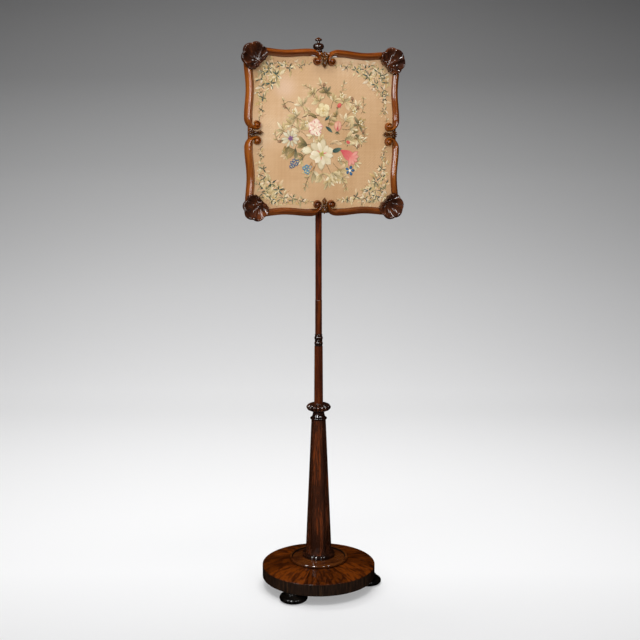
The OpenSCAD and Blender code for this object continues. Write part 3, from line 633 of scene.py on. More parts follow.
# %% Panel layout
HALF, RAIL_W, BACK, SEAT, CREST = 191.0, 18.5, 31.0, 43.75, 53.0
INSERT, POCKET_R, RIDGE_SOFT = HALF + 5.0, 36.3, 0.34
low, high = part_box("needlework")
PANEL_Z, CANVAS_FRONT = (low[2] + high[2]) / 2 / MM, -low[1] / MM
RAIL_OUT, WAVE_H, WAVE_L, HOOK_R, HOOK_AT, STRAP_W = 15.0, 2.6, 150.0, 21.0, 37.5, 9.0
hook_v = HALF + RAIL_OUT - HOOK_R
volute_u = HOOK_AT - HOOK_R + 3.75


def stand_up(bm, quarter):
    """Turn a flat drawing in millimetres by quarters and stand it up in the panel's plane, in metres."""
    place = (Matrix.Translation((0, 0, PANEL_Z * MM)) @ Matrix.Rotation(math.pi / 2, 4, "X")
             @ Matrix.Rotation(math.pi / 2 * quarter, 4, "Z") @ Matrix.Scale(MM, 4))
    bmesh.ops.transform(bm, matrix=place, verts=bm.verts)
    return bm


print("panel centre at", round(PANEL_Z, 1), "mm, canvas front", round(CANVAS_FRONT, 2), "mm before the pole")

# %% Section carried along a curve
def carried(stations, section):
    """Extrude a section's end face from station to station; section(station) gives its points there."""
    bm = bmesh.new()
    tag = bm.verts.layers.int.new("point")
    ring = [bm.verts.new(p) for p in section(stations[0])]
    for number, point in enumerate(ring):
        point[tag] = number
    end = bm.faces.new(ring)
    for station in stations[1:]:
        made = bmesh.ops.extrude_face_region(bm, geom=[end])["geom"]
        end = next(f for f in only(made, BMFace) if len(f.verts) == len(ring))
        places = section(station)
        for point in end.verts:
            point.co = places[point[tag]]
    return bm


def rail_section(station):
    """Points of the moulding at a station: upright sides, sloping flanks and a soft ridge."""
    u, v, out, turn, width, rise = station
    flat = [(out - width, BACK)]
    for k in range(17):
        x = -math.cos(math.pi * k / 16)
        slope = (math.hypot(x, RIDGE_SOFT) - RIDGE_SOFT) / (math.hypot(1.0, RIDGE_SOFT) - RIDGE_SOFT)
        flat.append((out - width / 2 + width / 2 * x, SEAT + (CREST - SEAT) * rise * (1 - slope)))
    flat += [(out, BACK)]
    a = math.radians(turn)
    return [(u + r * math.cos(a), v + r * math.sin(a), d) for r, d in flat]


def rail_curve():
    """Stations of half a rail as (centre u, centre v, outer radius, angle, width, rise of the crest)."""
    line = []
    for i in range(31):
        x = (HALF + 40 - HOOK_AT) * (1 - i / 30)
        phase = math.tau * x / WAVE_L
        slope = math.degrees(math.atan(WAVE_H * math.tau / WAVE_L * math.sin(phase)))
        line.append((HOOK_AT + x, HALF + RAIL_OUT - WAVE_H * (1 - math.cos(phase)), RAIL_W / 2, 90 - slope,
                     RAIL_W, 1.0))
    for i in range(1, 19):
        t = i / 18
        width = RAIL_W + (STRAP_W - RAIL_W) * math.sin(math.pi / 2 * t)
        line.append((HOOK_AT, hook_v, HOOK_R + RAIL_W / 2, 90 + 90 * t, width, 1.0))
    for i in range(1, 33):
        t = i / 32
        line.append((volute_u, hook_v, 13.0 - 2.9 * t, 180 + 240 * t, STRAP_W - 5.2 * t, 1.0 - 0.3 * t ** 2))
    return line


print("stations along half a rail:", len(rail_curve()))

# %% Rail blank
def slab(u1, u2, v1, v2, d1, d2):
    """A box between limits in millimetres."""
    bm = bmesh.new()
    bmesh.ops.create_cube(bm, size=1.0, matrix=Matrix.Translation(((u1 + u2) / 2, (v1 + v2) / 2, (d1 + d2) / 2))
                          @ Matrix.Diagonal((u2 - u1, v2 - v1, d2 - d1, 1.0)))
    return bm


def joined(*parts):
    """One bmesh out of several."""
    whole = bmesh.new()
    for part in parts:
        mesh = bpy.data.meshes.new("part")
        part.to_mesh(mesh)
        part.free()
        whole.from_mesh(mesh)
        bpy.data.meshes.remove(mesh)
    return whole


def sliced(bm, place, normal, **clear):
    """Cut a bmesh with a plane, clear one side away and return the edges of the cut."""
    parts = bm.verts[:] + bm.edges[:] + bm.faces[:]
    cut = bmesh.ops.bisect_plane(bm, geom=parts, plane_co=place, plane_no=normal, **clear)["geom_cut"]
    return only(cut, BMEdge)


def flat_backed(bm, depth):
    """Cut away what lies behind a depth and close the cut."""
    bmesh.ops.holes_fill(bm, edges=sliced(bm, (0, 0, depth), (0, 0, 1), clear_inner=True))
    return bm


def volute_ball():
    """The ball in the middle of a volute."""
    bm = bmesh.new()
    bmesh.ops.create_uvsphere(bm, u_segments=32, v_segments=20, radius=1.0, matrix=Matrix.Translation(
        (volute_u, hook_v, CANVAS_FRONT + 2.0)) @ Matrix.Diagonal((6.9, 6.9, 10.2, 1.0)))
    return flat_backed(bm, CANVAS_FRONT + 0.05)


def rail_half():
    """Half a rail: mitred at its corner, rebated for the needlework and cut away under the shell."""
    strap = carried(rail_curve(), rail_section)
    bmesh.ops.edgeloop_fill(strap, edges=sliced(strap, (0, 0, 0), (1, -1, 0), clear_outer=True))
    strap = merged(strap, slab(-INSERT, INSERT, -INSERT, INSERT, 0, CANVAS_FRONT + 0.05), "DIFFERENCE")
    pocket = bmesh.new()
    bmesh.ops.create_cone(pocket, cap_ends=True, segments=96, radius1=POCKET_R, radius2=POCKET_R, depth=40.0,
                          matrix=Matrix.Translation((HALF, HALF, SEAT + 20.0)))
    return joined(merged(strap, pocket, "DIFFERENCE"), volute_ball())


half = rail_half()
print("half a rail:", len(half.faces), "faces")

# %% Four rails
def whole_rail():
    """Two mirrored halves and the block that bridges them behind the clasp."""
    right = half.copy()
    left = half.copy()
    bmesh.ops.scale(left, vec=(-1, 1, 1), verts=left.verts)
    bmesh.ops.reverse_faces(left, faces=left.faces)
    bridge = slab(-HOOK_AT, HOOK_AT, INSERT, HALF + RAIL_OUT, BACK, SEAT - 0.8)
    eased(bridge, [e for e in bridge.edges if all(v.co.y > INSERT + 1 for v in e.verts)], 1.2)
    return joined(right, left, bridge)


for quarter, (node, wood) in enumerate((("top_rail", rail_lying), ("left_rail", rail_upright),
                                        ("bottom_rail", rail_lying), ("right_rail", rail_upright))):
    finish(stand_up(whole_rail(), quarter), "carved_" + node, wood, "panel", [node], sharp=40.0)
half.free()

# %% [markdown]
# ## Corner shells
# Each corner carries a hollow scallop: flutes that fan out from a hinge near the needlework and climb to a
# rolled, lobed rim at the outer corner, with a round curl on either side of the hinge. A web of points is
# spun about the hinge, and every point is then moved to its place on the carving by its share of the way to
# the rim and its angle, which is how a carver sets out a shell with a compass.

# %% Shell carving
SHELL_R, HINGE, SHELL_FLAT, RIBS = 36.0, 16.2, 24.0, 9
SHELL_LINE = [(0.0, 6.4), (0.06, 6.2), (0.12, 5.6), (0.19, 5.1), (0.27, 4.9), (0.36, 5.0), (0.45, 5.5), (0.54, 6.4),
              (0.63, 7.7), (0.71, 9.1), (0.78, 10.6), (0.84, 12.0), (0.885, 13.0), (0.92, 13.5), (0.95, 13.4),
              (0.975, 12.6), (0.993, 11.0), (1.0, 8.6), (0.995, 4.6), (0.97, 1.2), (0.945, 0.0), (0.0, 0.0)]


def limited(share):
    """A share held between 0 and 1."""
    return min(1.0, max(0.0, share))


def shell_rim(turn):
    """Distance from the hinge to the lobed rim at an angle from the outer corner, cut straight inside."""
    r = SHELL_R * (0.88 + 0.12 * abs(math.cos(turn * RIBS / 2)) ** 0.8)
    rim = HINGE * math.cos(turn) + math.sqrt(r * r - (HINGE * math.sin(turn)) ** 2)
    return min(rim, (HINGE - SHELL_FLAT) / math.cos(turn)) if math.cos(turn) < 0 else rim


def lump(place, size, turn=0.0, point=0.0):
    """A rounded lump that lies along its own Y axis and narrows to a point at its near end."""
    bm = bmesh.new()
    bmesh.ops.create_uvsphere(bm, u_segments=20, v_segments=14, radius=1.0)
    for v in bm.verts:
        v.co.x *= 1 - point * (1 - v.co.y) / 2
    bmesh.ops.transform(bm, verts=bm.verts, matrix=Matrix.Translation(place) @ Matrix.Rotation(turn, 4, "Z")
                        @ Matrix.Diagonal((*size, 1.0)))
    return bm


def hinge_curl(side):
    """A strap that runs in from the shell's side and curls round a ball beside the hinge."""
    a = math.radians(180 - side * 31)
    u, v = 25.0 * math.cos(a), 25.0 * math.sin(a)

    def section(t):
        turn = side * (math.radians(75) - math.radians(330) * t)
        out = 7.0 - 2.6 * t
        width = 3.6 - 1.6 * t
        ring = []
        for k in range(10):
            b = math.pi * k / 9
            r = out - width / 2 + width / 2 * math.cos(b)
            ring.append((u + r * math.cos(turn), v + r * math.sin(turn),
                         0.1 + (13.0 + 1.2 * t) * math.sin(b) ** 0.4))
        return ring

    strap = carried([i / 30 for i in range(31)], section)
    return joined(strap, flat_backed(lump((u, v, 6.0), (4.4, 4.4, 8.6)), 0.05))


def corner_shell():
    """A shell drawn with its flutes fanning towards +X and its seat at depth 0."""
    web = spun([(share, 0.0, number) for number, (share, rise) in enumerate(SHELL_LINE)], 216)
    for v in web.verts:
        share, rise = SHELL_LINE[round(v.co.z)]
        turn = math.atan2(v.co.y, v.co.x)
        fan = limited((math.radians(140) - abs(turn)) / math.radians(30))
        ridge = (1 - abs(math.cos(turn * RIBS / 2))) ** 1.6
        deep = limited((share - 0.1) / 0.35) * min(1.0, rise / 5.0)
        reach = share * shell_rim(turn)
        v.co = (reach * math.cos(turn) - HINGE, reach * math.sin(turn), rise + 4.0 * deep * fan * ridge)
    bud = flat_backed(lump((-HINGE - 3.0, 0.0, 5.0), (5.6, 4.0, 5.6)), 0.05)
    return joined(web, hinge_curl(1), hinge_curl(-1), bud)


for node, degrees in (("shell_top_right", 45), ("shell_top_left", 135),
                      ("shell_bottom_left", 225), ("shell_bottom_right", 315)):
    carving = corner_shell()
    bmesh.ops.transform(carving, verts=carving.verts, matrix=Matrix.Rotation(math.radians(degrees), 4, "Z")
                        @ Matrix.Translation((HALF * math.sqrt(2), 0, SEAT + 0.02)))
    finish(stand_up(carving, 0), "carved_" + node, carved_wood, "panel", [node], sharp=50.0)

# %% [markdown]
# ## Clasps
# Where two scrolls meet in the middle of a side, a small clasp holds them: a large fan of five flutes outside,
# a round boss at the tight waist, and a narrower fan that lies in over the needlework. Each flute is a lump
# that narrows at its near end, so both fans are the same form at two sizes.

# %% Clasp carving
def clasp():
    """A clasp drawn as the top one."""
    floor, waist = SEAT - 0.8, HALF - 1.0
    flutes = [lump((0, waist, floor + 3.0), (5.2, 4.6, 9.0))]
    for k in range(-2, 3):
        for lean, reach, half_width, rise in (
                (math.radians(-19 * k), 9.8 - 0.4 * abs(k), 3.0, 8.8 - 0.8 * abs(k)),
                (math.radians(180 + 10 * k), 11.8 - 1.5 * abs(k), 2.0, 8.0 - 0.7 * abs(k))):
            flutes.append(lump((-math.sin(lean) * reach, waist + math.cos(lean) * reach, floor + 1.2),
                               (half_width, reach, rise), lean, 0.66))
    return joined(*[flat_backed(flute, floor + 0.02) for flute in flutes])


clasp_wood = polished_rosewood("rosewood_clasp", CARVED, "#2a1208", "#573010", "#7e4a1c", 10.0)
for quarter, node in enumerate(("clasp_top", "clasp_left", "clasp_bottom", "clasp_right")):
    finish(stand_up(clasp(), quarter), "carved_" + node, clasp_wood, "panel", [node], sharp=50.0)

# %% [markdown]
# ## The needlework's ground
# The panel is a canvas worked all over in tan wool and stretched on a strainer. It has aged a little unevenly: one
# patch is paler, and the rows of stitches show as faint streaks both ways. The cloth is a fine grid that ripples by
# a tenth of a millimetre.

# %% Wool ground finish
def bands(tree, vector, direction, width, distortion, detail_scale):
    """Bands for threads and ribs; crests and dips are both about one width, in the vector's own units."""
    return add(tree, "TexWave", {
        "Vector": vector, "Scale": 1 / (width * math.tau), "Distortion": distortion,
        "Detail Scale": detail_scale}, wave_type="BANDS", bands_direction=direction).outputs["Fac"]


def streaks(tree, place, stretch, scale):
    """Streaks that run along a row or a column of stitches."""
    squeezed = add(tree, "Mapping", {"Vector": place, "Scale": stretch})
    return add(tree, "TexNoise", {"Vector": squeezed, "Scale": scale, "Detail": 3.0})


def cloth_surface(tree, shader, colour, threads, bump, sheen_roughness, roughness):
    """Matt wool over raised threads."""
    wire(tree, shader, {
        "Base Color": colour,
        "Normal": add(tree, "Bump", {"Strength": bump, "Distance": 0.0004, "Height": threads}),
        "Roughness": roughness, "Specular IOR Level": 0.15, "Sheen Weight": 0.15,
        "Sheen Roughness": sheen_roughness})


ground, tree, shader, place = new_material("tan_wool_ground")
stain = add(tree, "TexNoise", {"Vector": place, "Scale": 6.0, "Detail": 3.0, "Roughness": 0.5})
# streaks some 5 mm wide that run for 150 mm
both_ways = reckon(tree, "ADD", streaks(tree, place, (0.04, 1.0, 1.0), 190.0),
                   streaks(tree, place, (1.0, 1.0, 0.04), 150.0))
blend = reckon(tree, "MULTIPLY_ADD", both_ways, 0.2, stain)
tone = add(tree, "MapRange", {"Value": blend, "From Min": 0.4, "From Max": 1.0})
wool = ramp(tree, tone, (0.0, "#b68e64"), (0.4, "#c49e75"), (0.7, "#cca780"), (1.0, "#d6b793"))
# a worn place near the upper left, some 60 mm across, where the pale canvas shows through
worn_place = add(tree, "VectorMath", {0: place, 1: (-0.105, -0.042, 1.365)}, operation="DISTANCE")
worn = add(tree, "MapRange", {
    "Value": reckon(tree, "MULTIPLY_ADD", stain, 0.09, worn_place.outputs["Value"]),
    "From Min": 0.05, "From Max": 0.095, "To Min": 0.55, "To Max": 0.0}, interpolation_type="SMOOTHSTEP")
aged = add(tree, "Mix", {0: worn, 6: wool, 7: linear("#dcbda4")}, data_type="RGBA")
# tent stitches about 1.4 mm wide, which slant both ways, slightly coarser than fine work so that they show
slant = add(tree, "Mapping", {"Vector": place, "Rotation": (0.0, math.radians(45), 0.0)})
tent = reckon(tree, "ADD", bands(tree, slant, "X", 0.0014, 0.6, 3.0), bands(tree, slant, "Z", 0.0028, 0.6, 3.0))
cloth_surface(tree, shader, aged.outputs[2], tent, 0.35, 0.5, 0.92)
print("ground finish ready")

# %% Ground cloth
CLOTH = 2 * (INSERT - 0.1)
STRAINER = ["strainer_top", "strainer_bottom", "strainer_left", "strainer_right"]


def flat_cloth(side, depth, cells, ripple):
    """A square of cloth in the panel's drawing, with a faint ripple."""
    bm = bmesh.new()
    bmesh.ops.create_grid(bm, x_segments=cells, y_segments=cells, size=side / 2)
    for v in bm.verts:
        wave = math.sin(v.co.x * 0.11) * math.cos(v.co.y * 0.083) + math.sin(v.co.x * 0.037 + v.co.y * 0.05)
        v.co.z = depth + ripple * wave
    return stand_up(bm, 0)


cloth = finish(flat_cloth(CLOTH, CANVAS_FRONT - 0.4, 60, 0.08), "needlework_ground", ground, "panel",
               ["needlework"], closed=False)
print("ground cloth", CLOTH, "mm square")

# %% [markdown]
# ## Flowers in wool
# On the ground are a bunch of garden flowers and four corner sprays of narrow leaves, in soft, faded wools. Each
# petal and each leaf is one patch of satin stitch: a small grid that is drawn to a petal's outline, crowned like
# a padded stitch, and shaded along its length and towards its edge. The colour of each point is kept in an
# attribute, and the UV map holds centimetres, so the threads run across every patch at one spacing.

# %% Stitch finish
stitches, tree, shader = new_material("embroidery_wool")[:3]
shade = add(tree, "Attribute", {}, attribute_name="wool")
lie = add(tree, "UVMap", {}, uv_map="stitch")
# threads about 1.3 mm wide with gaps as wide, thicker than crewel wool so that they show
threads = add(tree, "TexWave", {
    "Vector": lie, "Scale": 10.0 / (1.3 * math.tau), "Distortion": 1.5, "Detail": 1.0, "Detail Scale": 2.0},
    wave_type="BANDS", bands_direction="Y").outputs["Fac"]
fluff = add(tree, "TexNoise", {"Vector": lie, "Scale": 12.0, "Detail": 3.0})
uneven = reckon(tree, "MULTIPLY_ADD", fluff, 0.22, reckon(tree, "MULTIPLY_ADD", threads, 0.16, 0.80))
colour = add(tree, "VectorMath", {0: shade, "Scale": uneven}, operation="SCALE")
cloth_surface(tree, shader, colour, threads, 0.4, 0.45, 0.88)
print("stitch finish ready")

# %% One patch of satin stitch
needle = random.Random(11)
work = bmesh.new()
wool_colour = work.verts.layers.float_color.new("wool")
stitch_map = work.loops.layers.uv.new("stitch")
PATCH_GRID = (4, 5)
PATCH_FACES = math.prod(PATCH_GRID)
LAYER_RISE, PADDING, CM = 0.16, 0.4, 10


def mixed(a, b, t):
    """A colour between two linear colours."""
    return [x + (y - x) * t for x, y in zip(a, b)]


def sway(most):
    """A random amount to either side."""
    return needle.uniform(-most, most)


def away(u, v, turn, reach):
    """The place at a distance from (u, v) along an angle in degrees."""
    a = math.radians(turn)
    return u + reach * math.cos(a), v + reach * math.sin(a)


def patch(u, v, turn, length, width, base, tip, layer, bend=0.0, full=0.5, edge=None):
    """A petal or leaf that starts at (u, v) and points along an angle; full shifts its widest place outward."""
    grid = bmesh.ops.create_grid(work, x_segments=PATCH_GRID[0], y_segments=PATCH_GRID[1], size=0.5)["verts"]
    a = math.radians(turn)
    base, tip, rim = linear(base), linear(tip), linear(edge or tip)
    flat = {}
    for p in grid:
        t, s = p.co.y + 0.5, p.co.x * 2
        swell = math.sin(math.pi * limited(t) ** (math.log(0.5) / math.log(full))) ** 0.75
        across = s * width / 2 * max(0.06, swell) + bend * length * t * t
        along = t * length * (1 + 0.05 * (1 - abs(s)))
        flat[p] = (across / CM, along / CM)
        shade = mixed(base, tip, limited(t + sway(0.15)))
        near_edge = max(abs(s) ** 3, t ** 6)
        p[wool_colour] = mixed(shade, rim, near_edge * needle.uniform(0.6, 1.0)) if edge else shade
        rise = CANVAS_FRONT - 0.15 + LAYER_RISE * layer + PADDING * (1 - s * s) * math.sin(math.pi * t)
        p.co = (u + along * math.cos(a) - across * math.sin(a),
                v + along * math.sin(a) + across * math.cos(a), rise)
    for face in {f for p in grid for f in p.link_faces}:
        # create_grid faces +Z, and the turn from (x, y) to (across, along) mirrors it, so it is put right here
        face.normal_flip()
        for loop in face.loops:
            loop[stitch_map].uv = flat[loop.vert]


def stem(u, v, turn, length, bend, width, shade):
    """A thin line of stem stitch that bends by some degrees; returns its points."""
    steps = max(3, round(length / 8))
    points = [(u, v)]
    for i in range(steps):
        points.append(away(*points[-1], turn + bend * i / steps, length / steps))
    for (u1, v1), (u2, v2) in zip(points, points[1:]):
        reach = math.hypot(u2 - u1, v2 - v1)
        patch(u1, v1, math.degrees(math.atan2(v2 - v1, u2 - u1)), reach * 1.3, width, shade, shade, 0)
    return points


print("needle threaded")

# %% Leaves and sprigs
PALE = [("#b09562", "#d2bb8c"), ("#a38a5a", "#cbb283"), ("#bfa675", "#e0cda3"), ("#b59a6a", "#d8c297"),
        ("#94825a", "#c4b086"), ("#bd9a70", "#dcc19a"), ("#cdb68c", "#e8dab8")]
PALE_TUFT = PALE + [("#c0966c", "#dcb894"), ("#b08c56", "#d2b47e"), ("#c4a988", "#e4d2b4")]
OLIVE = [("#6a5b38", "#a69264"), ("#7a6840", "#b09c72"), ("#5a5239", "#938764"), ("#876b3f", "#b59964")]
SPRUCE, AUTUMN = [("#2b4440", "#5c7060")], [("#a67c52", "#c79f74")]
DARK = ["#3d4237", "#2f4a46", "#4b4631", "#463a28", "#5e4a30", "#24403f"]
STEMS, TUFT_STEMS = ["#6a5c3a", "#4f472f", "#857046"], ["#8a6a42", "#6f5836", "#a17a4c"]
TUFT_DARK = ["#37463f", "#2c4a47", "#3f4a38", "#4a5240", "#27403c"]


def leaf(u, v, turn, size, shades=PALE, layer=1.0):
    """A leaf with one or two dark threads along its middle or its sides."""
    base, tip = needle.choice(shades)
    bend = sway(0.18)
    wide = size * needle.uniform(0.3, 0.44)
    patch(u, v, turn, size, wide, base, tip, layer, bend)
    for side in needle.choice(((-1,), (1,), (-1, 0), (0, 1), (0,))):
        patch(*away(u, v, turn + 90, side * wide * 0.16), turn + side * 7, size * 0.84, 1.1, needle.choice(DARK),
              base, layer + 0.8, bend - side * 0.06)


def sprig(u, v, turn, length, bend, leaves, size):
    """A thin bending stem with leaves to both sides and one at its tip."""
    line = stem(u, v, turn, length, bend, 1.1, needle.choice(STEMS))
    for k in range(leaves):
        place = line[1 + round(k * (len(line) - 2) / max(1, leaves - 1))]
        aim = turn + bend * k / leaves + (55 if k % 2 else -55) + sway(24)
        leaf(*place, aim, size * needle.uniform(0.65, 1.2))
    leaf(*line[-1], turn + bend, size)


def tuft(u, v, size, dark, pale):
    """A tuft of a corner spray: pale leaves under a few dark, narrow ones that fan from one point."""
    turn = needle.uniform(0, 360)
    for k in range(pale):
        base, tip = needle.choice(PALE_TUFT)
        aim = turn + 360 / pale * k
        patch(u + sway(0.3) * size, v + sway(0.3) * size, aim + sway(40), size * needle.uniform(0.5, 0.8),
              size * needle.uniform(0.2, 0.3), base, tip, 0.5 + 0.2 * (k % 3), sway(0.3))
        if needle.random() < 0.4:
            stem(u, v, aim, size * 0.6, sway(60), 1.0, needle.choice(TUFT_STEMS))
    for k in range(dark):
        shade = needle.choice(TUFT_DARK)
        patch(u, v, turn + 30 + 360 / dark * k + sway(28), size * needle.uniform(0.4, 0.62),
              size * needle.uniform(0.1, 0.15), shade, needle.choice(["#6b7058", "#4f665c", shade, "#8b835c"]), 1.8,
              sway(0.25), 0.45)


print("patterns for leaves, sprigs and tufts")

# %% Flowers
def rosette(u, v, size, rings, turn=0.0):
    """Rings of petals from the outside in, each as (count, start, length, width, base, tip, edge, full).

    start, length and width are shares of the flower's size."""
    for layer, (count, start, length, width, base, tip, edge, full) in enumerate(rings):
        for k in range(count):
            a = turn + 360 / count * (k + 0.5 * (layer % 2)) + sway(7)
            lined = edge if needle.random() < 0.6 else None
            patch(*away(u, v, a, size * start), a, size * length * needle.uniform(0.84, 1.14),
                  size * width * needle.uniform(0.85, 1.1), base, tip, 2 + layer * 0.8 + 0.12 * (k % 3), sway(0.14),
                  full, lined)


def rose(u, v, size, shades, turn=0.0):
    """A full rose: broad outer petals with deeper edges, and cupped rings that close on the heart."""
    edge, deep, middle, pale = shades
    rosette(u, v, size, [(5, 0.10, 0.88, 0.98, middle, pale, edge, 0.60),
                         (5, 0.10, 0.66, 0.78, deep, pale, edge, 0.60),
                         (4, 0.04, 0.46, 0.56, middle, pale, edge, 0.58),
                         (3, 0.0, 0.26, 0.30, deep, middle, edge, 0.55)], turn)


def lily(u, v, size, turn=0.0):
    """A wide open lily: broad cream petals that overlap, with a flushed throat."""
    rosette(u, v, size, [(6, 0.10, 0.92, 0.60, "#c4b28c", "#e2d3b2", "#a8946c", 0.60),
                         (6, 0.06, 0.78, 0.46, "#d0c09c", "#ecdfc4", "#b8a57e", 0.60),
                         (3, 0.10, 0.36, 0.09, "#c2504c", "#e5a493", None, 0.5),
                         (4, 0.0, 0.22, 0.16, "#8f8a4c", "#cdbb6c", None, 0.5)], turn)


def daisy(u, v, size, petal, heart, count=10, wide=0.36):
    """A ring of petals about a small round heart."""
    rosette(u, v, size, [(count, 0.22, 0.78, wide, *petal, 0.58), (5, 0.0, 0.32, 0.24, *heart, None, 0.5)])


def tulip(u, v, turn, size, shades):
    """A half-open cup of petals seen from its side."""
    for layer, k in enumerate((-2, 2, -1, 1, 0)):
        patch(u, v, turn + 13 * k, size * (1.0 - 0.04 * abs(k)), size * 0.42, shades[0], shades[1],
              2 + 0.25 * layer, -0.10 * k, 0.52, shades[2])
    for k in (-1, 0, 1):
        patch(u, v, turn + 180 + 40 * k, size * 0.34, size * 0.1, "#37413a", "#7a7a4e", 1.6, 0.1 * k)


def trumpet(u, v, turn, size, shades):
    """A long flower seen from its side, with a flared mouth."""
    for k in (-1, 1, 0):
        patch(u, v, turn + 7 * k, size * 0.74, size * 0.3, shades[0], shades[1], 2 + 0.2 * (1 - abs(k)),
              0.08 * k, 0.6)
    mouth = away(u, v, turn, size * 0.56)
    for k in (-2, 2, -1, 1, 0):
        patch(*mouth, turn + 24 * k, size * 0.46, size * 0.22, shades[1], shades[2], 3 + 0.1 * k, 0.1 * k, 0.6,
              shades[0])


print("patterns for roses, lilies, daisies, tulips and trumpets")

# %% The bunch of flowers
CREAM_ROSE = ("#9c7644", "#c4a468", "#d9c391", "#e6d6ac")
PINK_ROSE = ("#cb6f6e", "#dfb79c", "#e9d3b6", "#efe2ca")
# a leaf or a fan of leaves without shades of its own is worked in the pale wools
for u, v, turn, spread, count, size, *shades in (
        (-60, 70, 112, 120, 5, 27), (-78, 40, 160, 230, 7, 27), (-40, 52, 150, 90, 4, 26),
        (-14, 84, 120, 150, 5, 24), (4, 106, 80, 220, 7, 20, OLIVE), (-8, 124, 100, 120, 4, 17),
        (26, 84, 60, 140, 5, 25), (58, 84, 50, 230, 7, 26), (78, 60, 40, 150, 5, 20),
        (60, 34, 60, 120, 4, 26), (98, 26, 30, 280, 7, 21, OLIVE), (74, 12, 10, 120, 5, 28),
        (92, -12, -20, 140, 4, 24), (66, -14, 20, 90, 4, 30), (108, -20, 70, 140, 4, 17),
        (-46, 22, 150, 100, 4, 28), (-66, 6, 150, 140, 5, 27), (-112, 6, 130, 160, 5, 22),
        (-82, -40, 240, 130, 5, 30, OLIVE), (-50, -30, 190, 110, 4, 30, OLIVE), (-104, -52, 220, 120, 4, 22),
        (-62, -68, 230, 120, 4, 24), (-30, -98, 250, 130, 5, 28), (-6, -104, 268, 120, 5, 32),
        (20, -104, -60, 140, 6, 34), (42, -92, -34, 130, 5, 28), (58, -74, -20, 120, 4, 24),
        (88, -74, -30, 140, 4, 20), (14, -122, -80, 150, 5, 26), (-32, 98, 130, 150, 5, 20),
        (90, 72, 70, 160, 5, 18), (-14, -22, 100, 160, 5, 22), (18, 36, 60, 140, 4, 22),
        (-90, 20, 160, 160, 5, 22), (-58, -58, 200, 120, 4, 22, OLIVE), (52, -112, -40, 130, 5, 22),
        (34, 44, 100, 120, 4, 18, OLIVE), (-30, -4, 240, 120, 4, 22), (84, -2, 0, 160, 5, 20, OLIVE)):
    for k in range(count):
        aim = turn + spread * (k / (count - 1) - 0.5) + sway(10)
        leaf(u + sway(3), v + sway(3), aim, size * needle.uniform(0.7, 1.1),
             *shades, layer=0.6 + 0.15 * (k % 3))
    stem(u, v, turn + 180, size * 0.8, sway(50), 1.2, needle.choice(STEMS))
for u, v, turn, length, bend, leaves, size in (
        (-20, 96, 126, 40, 40, 5, 12), (40, 92, 56, 40, 30, 5, 12), (-92, 52, 140, 36, -40, 5, 12),
        (104, 52, 60, 40, 50, 5, 11), (112, -10, 70, 40, 50, 5, 11), (-118, -26, 150, 30, -60, 4, 11),
        (-40, -108, 236, 34, 30, 5, 12), (40, -112, -40, 36, -24, 5, 13)):
    sprig(u, v, turn, length, bend, leaves, size)
for u, v, turn, length, bend in (
        (-62, 40, 20, 56, -36), (-112, 72, 40, 30, -80), (100, 62, 120, 34, 60), (112, -20, 80, 40, 50),
        (64, -34, 60, 46, -70), (-30, 96, 60, 40, -60), (96, -40, 130, 30, 60), (-124, -14, 70, 28, -90)):
    stem(u, v, turn, length, bend, 1.4, needle.choice(DARK))
for u, v, turn, size, *shades in (
        (-66, 10, 20, 26), (-58, 20, -10, 24), (4, 18, -30, 24, SPRUCE), (10, 26, -10, 20, OLIVE),
        (-44, -36, 200, 26, OLIVE), (-102, -38, 250, 28, OLIVE), (-96, -34, 228, 30, OLIVE),
        (-108, -32, 262, 22, OLIVE),
        (16, -26, 20, 24), (26, -20, -14, 26), (58, -14, 14, 34), (54, -22, -6, 36),
        (20, -46, 8, 30, SPRUCE), (8, -104, -40, 34), (22, -116, -20, 30), (-8, -106, 230, 28),
        (28, -104, -66, 28), (-34, -74, 250, 26, AUTUMN), (-26, -84, 226, 26, AUTUMN),
        (2, 34, 40, 18, SPRUCE), (40, -64, -60, 22), (-20, 40, 150, 26, OLIVE), (60, 18, 30, 22)):
    leaf(u, v, turn, size, *shades, layer=1.3)
lily(-7, -54, 38, 20)
patch(-34, -46, 168, 30, 22, "#d9caa2", "#efe6cb", 2.2, 0.1, 0.5, "#bda778")
rose(-25, 15, 22, PINK_ROSE, 10)
for u, v, turn, length in ((-36, 8, 200, 9), (-33, 20, 150, 8), (-22, 4, 280, 9), (-14, 6, 310, 8),
                           (-26, 26, 100, 8), (-19, 15, 20, 7), (-30, 13, 240, 6), (-12, 18, 350, 7)):
    patch(u, v, turn, length, 2.6, "#c65a62", "#dd9a90", 5.4, 0.2)
rose(-3, 59, 20, CREAM_ROSE, 40)
for start in (20, 110, 200, 290):
    stem(*away(-3, 59, start, 15), start + 100, 22, 80, 1.5, "#94703f")
tulip(37, 6, 84, 28, ("#cf8f78", "#e0bd9c", "#c4504e"))
for k in (-1, 0, 1):
    patch(37 + 3 * k, 8, 84 + 20 * k, 22, 2.4, "#b8434a", "#cf6f68", 4.4, -0.2 * k)
daisy(-93, -14, 24, ("#c0b594", "#ddd3b6", "#a09370"), ("#6d4a6c", "#94708e"))
trumpet(46, -42, -32, 56, ("#c24c52", "#d9766f", "#e3b09a"))
daisy(73, -96, 13.5, ("#4a7a9c", "#2a5278", "#1b3656"), ("#e8e0c4", "#f4efdf"), 5, 0.66)
SLATE_BLUE, CLEAR_BLUE = ("#43587a", "#5a7499", "#2a3d63"), ("#3f7c98", "#5596b2", "#275a7c")
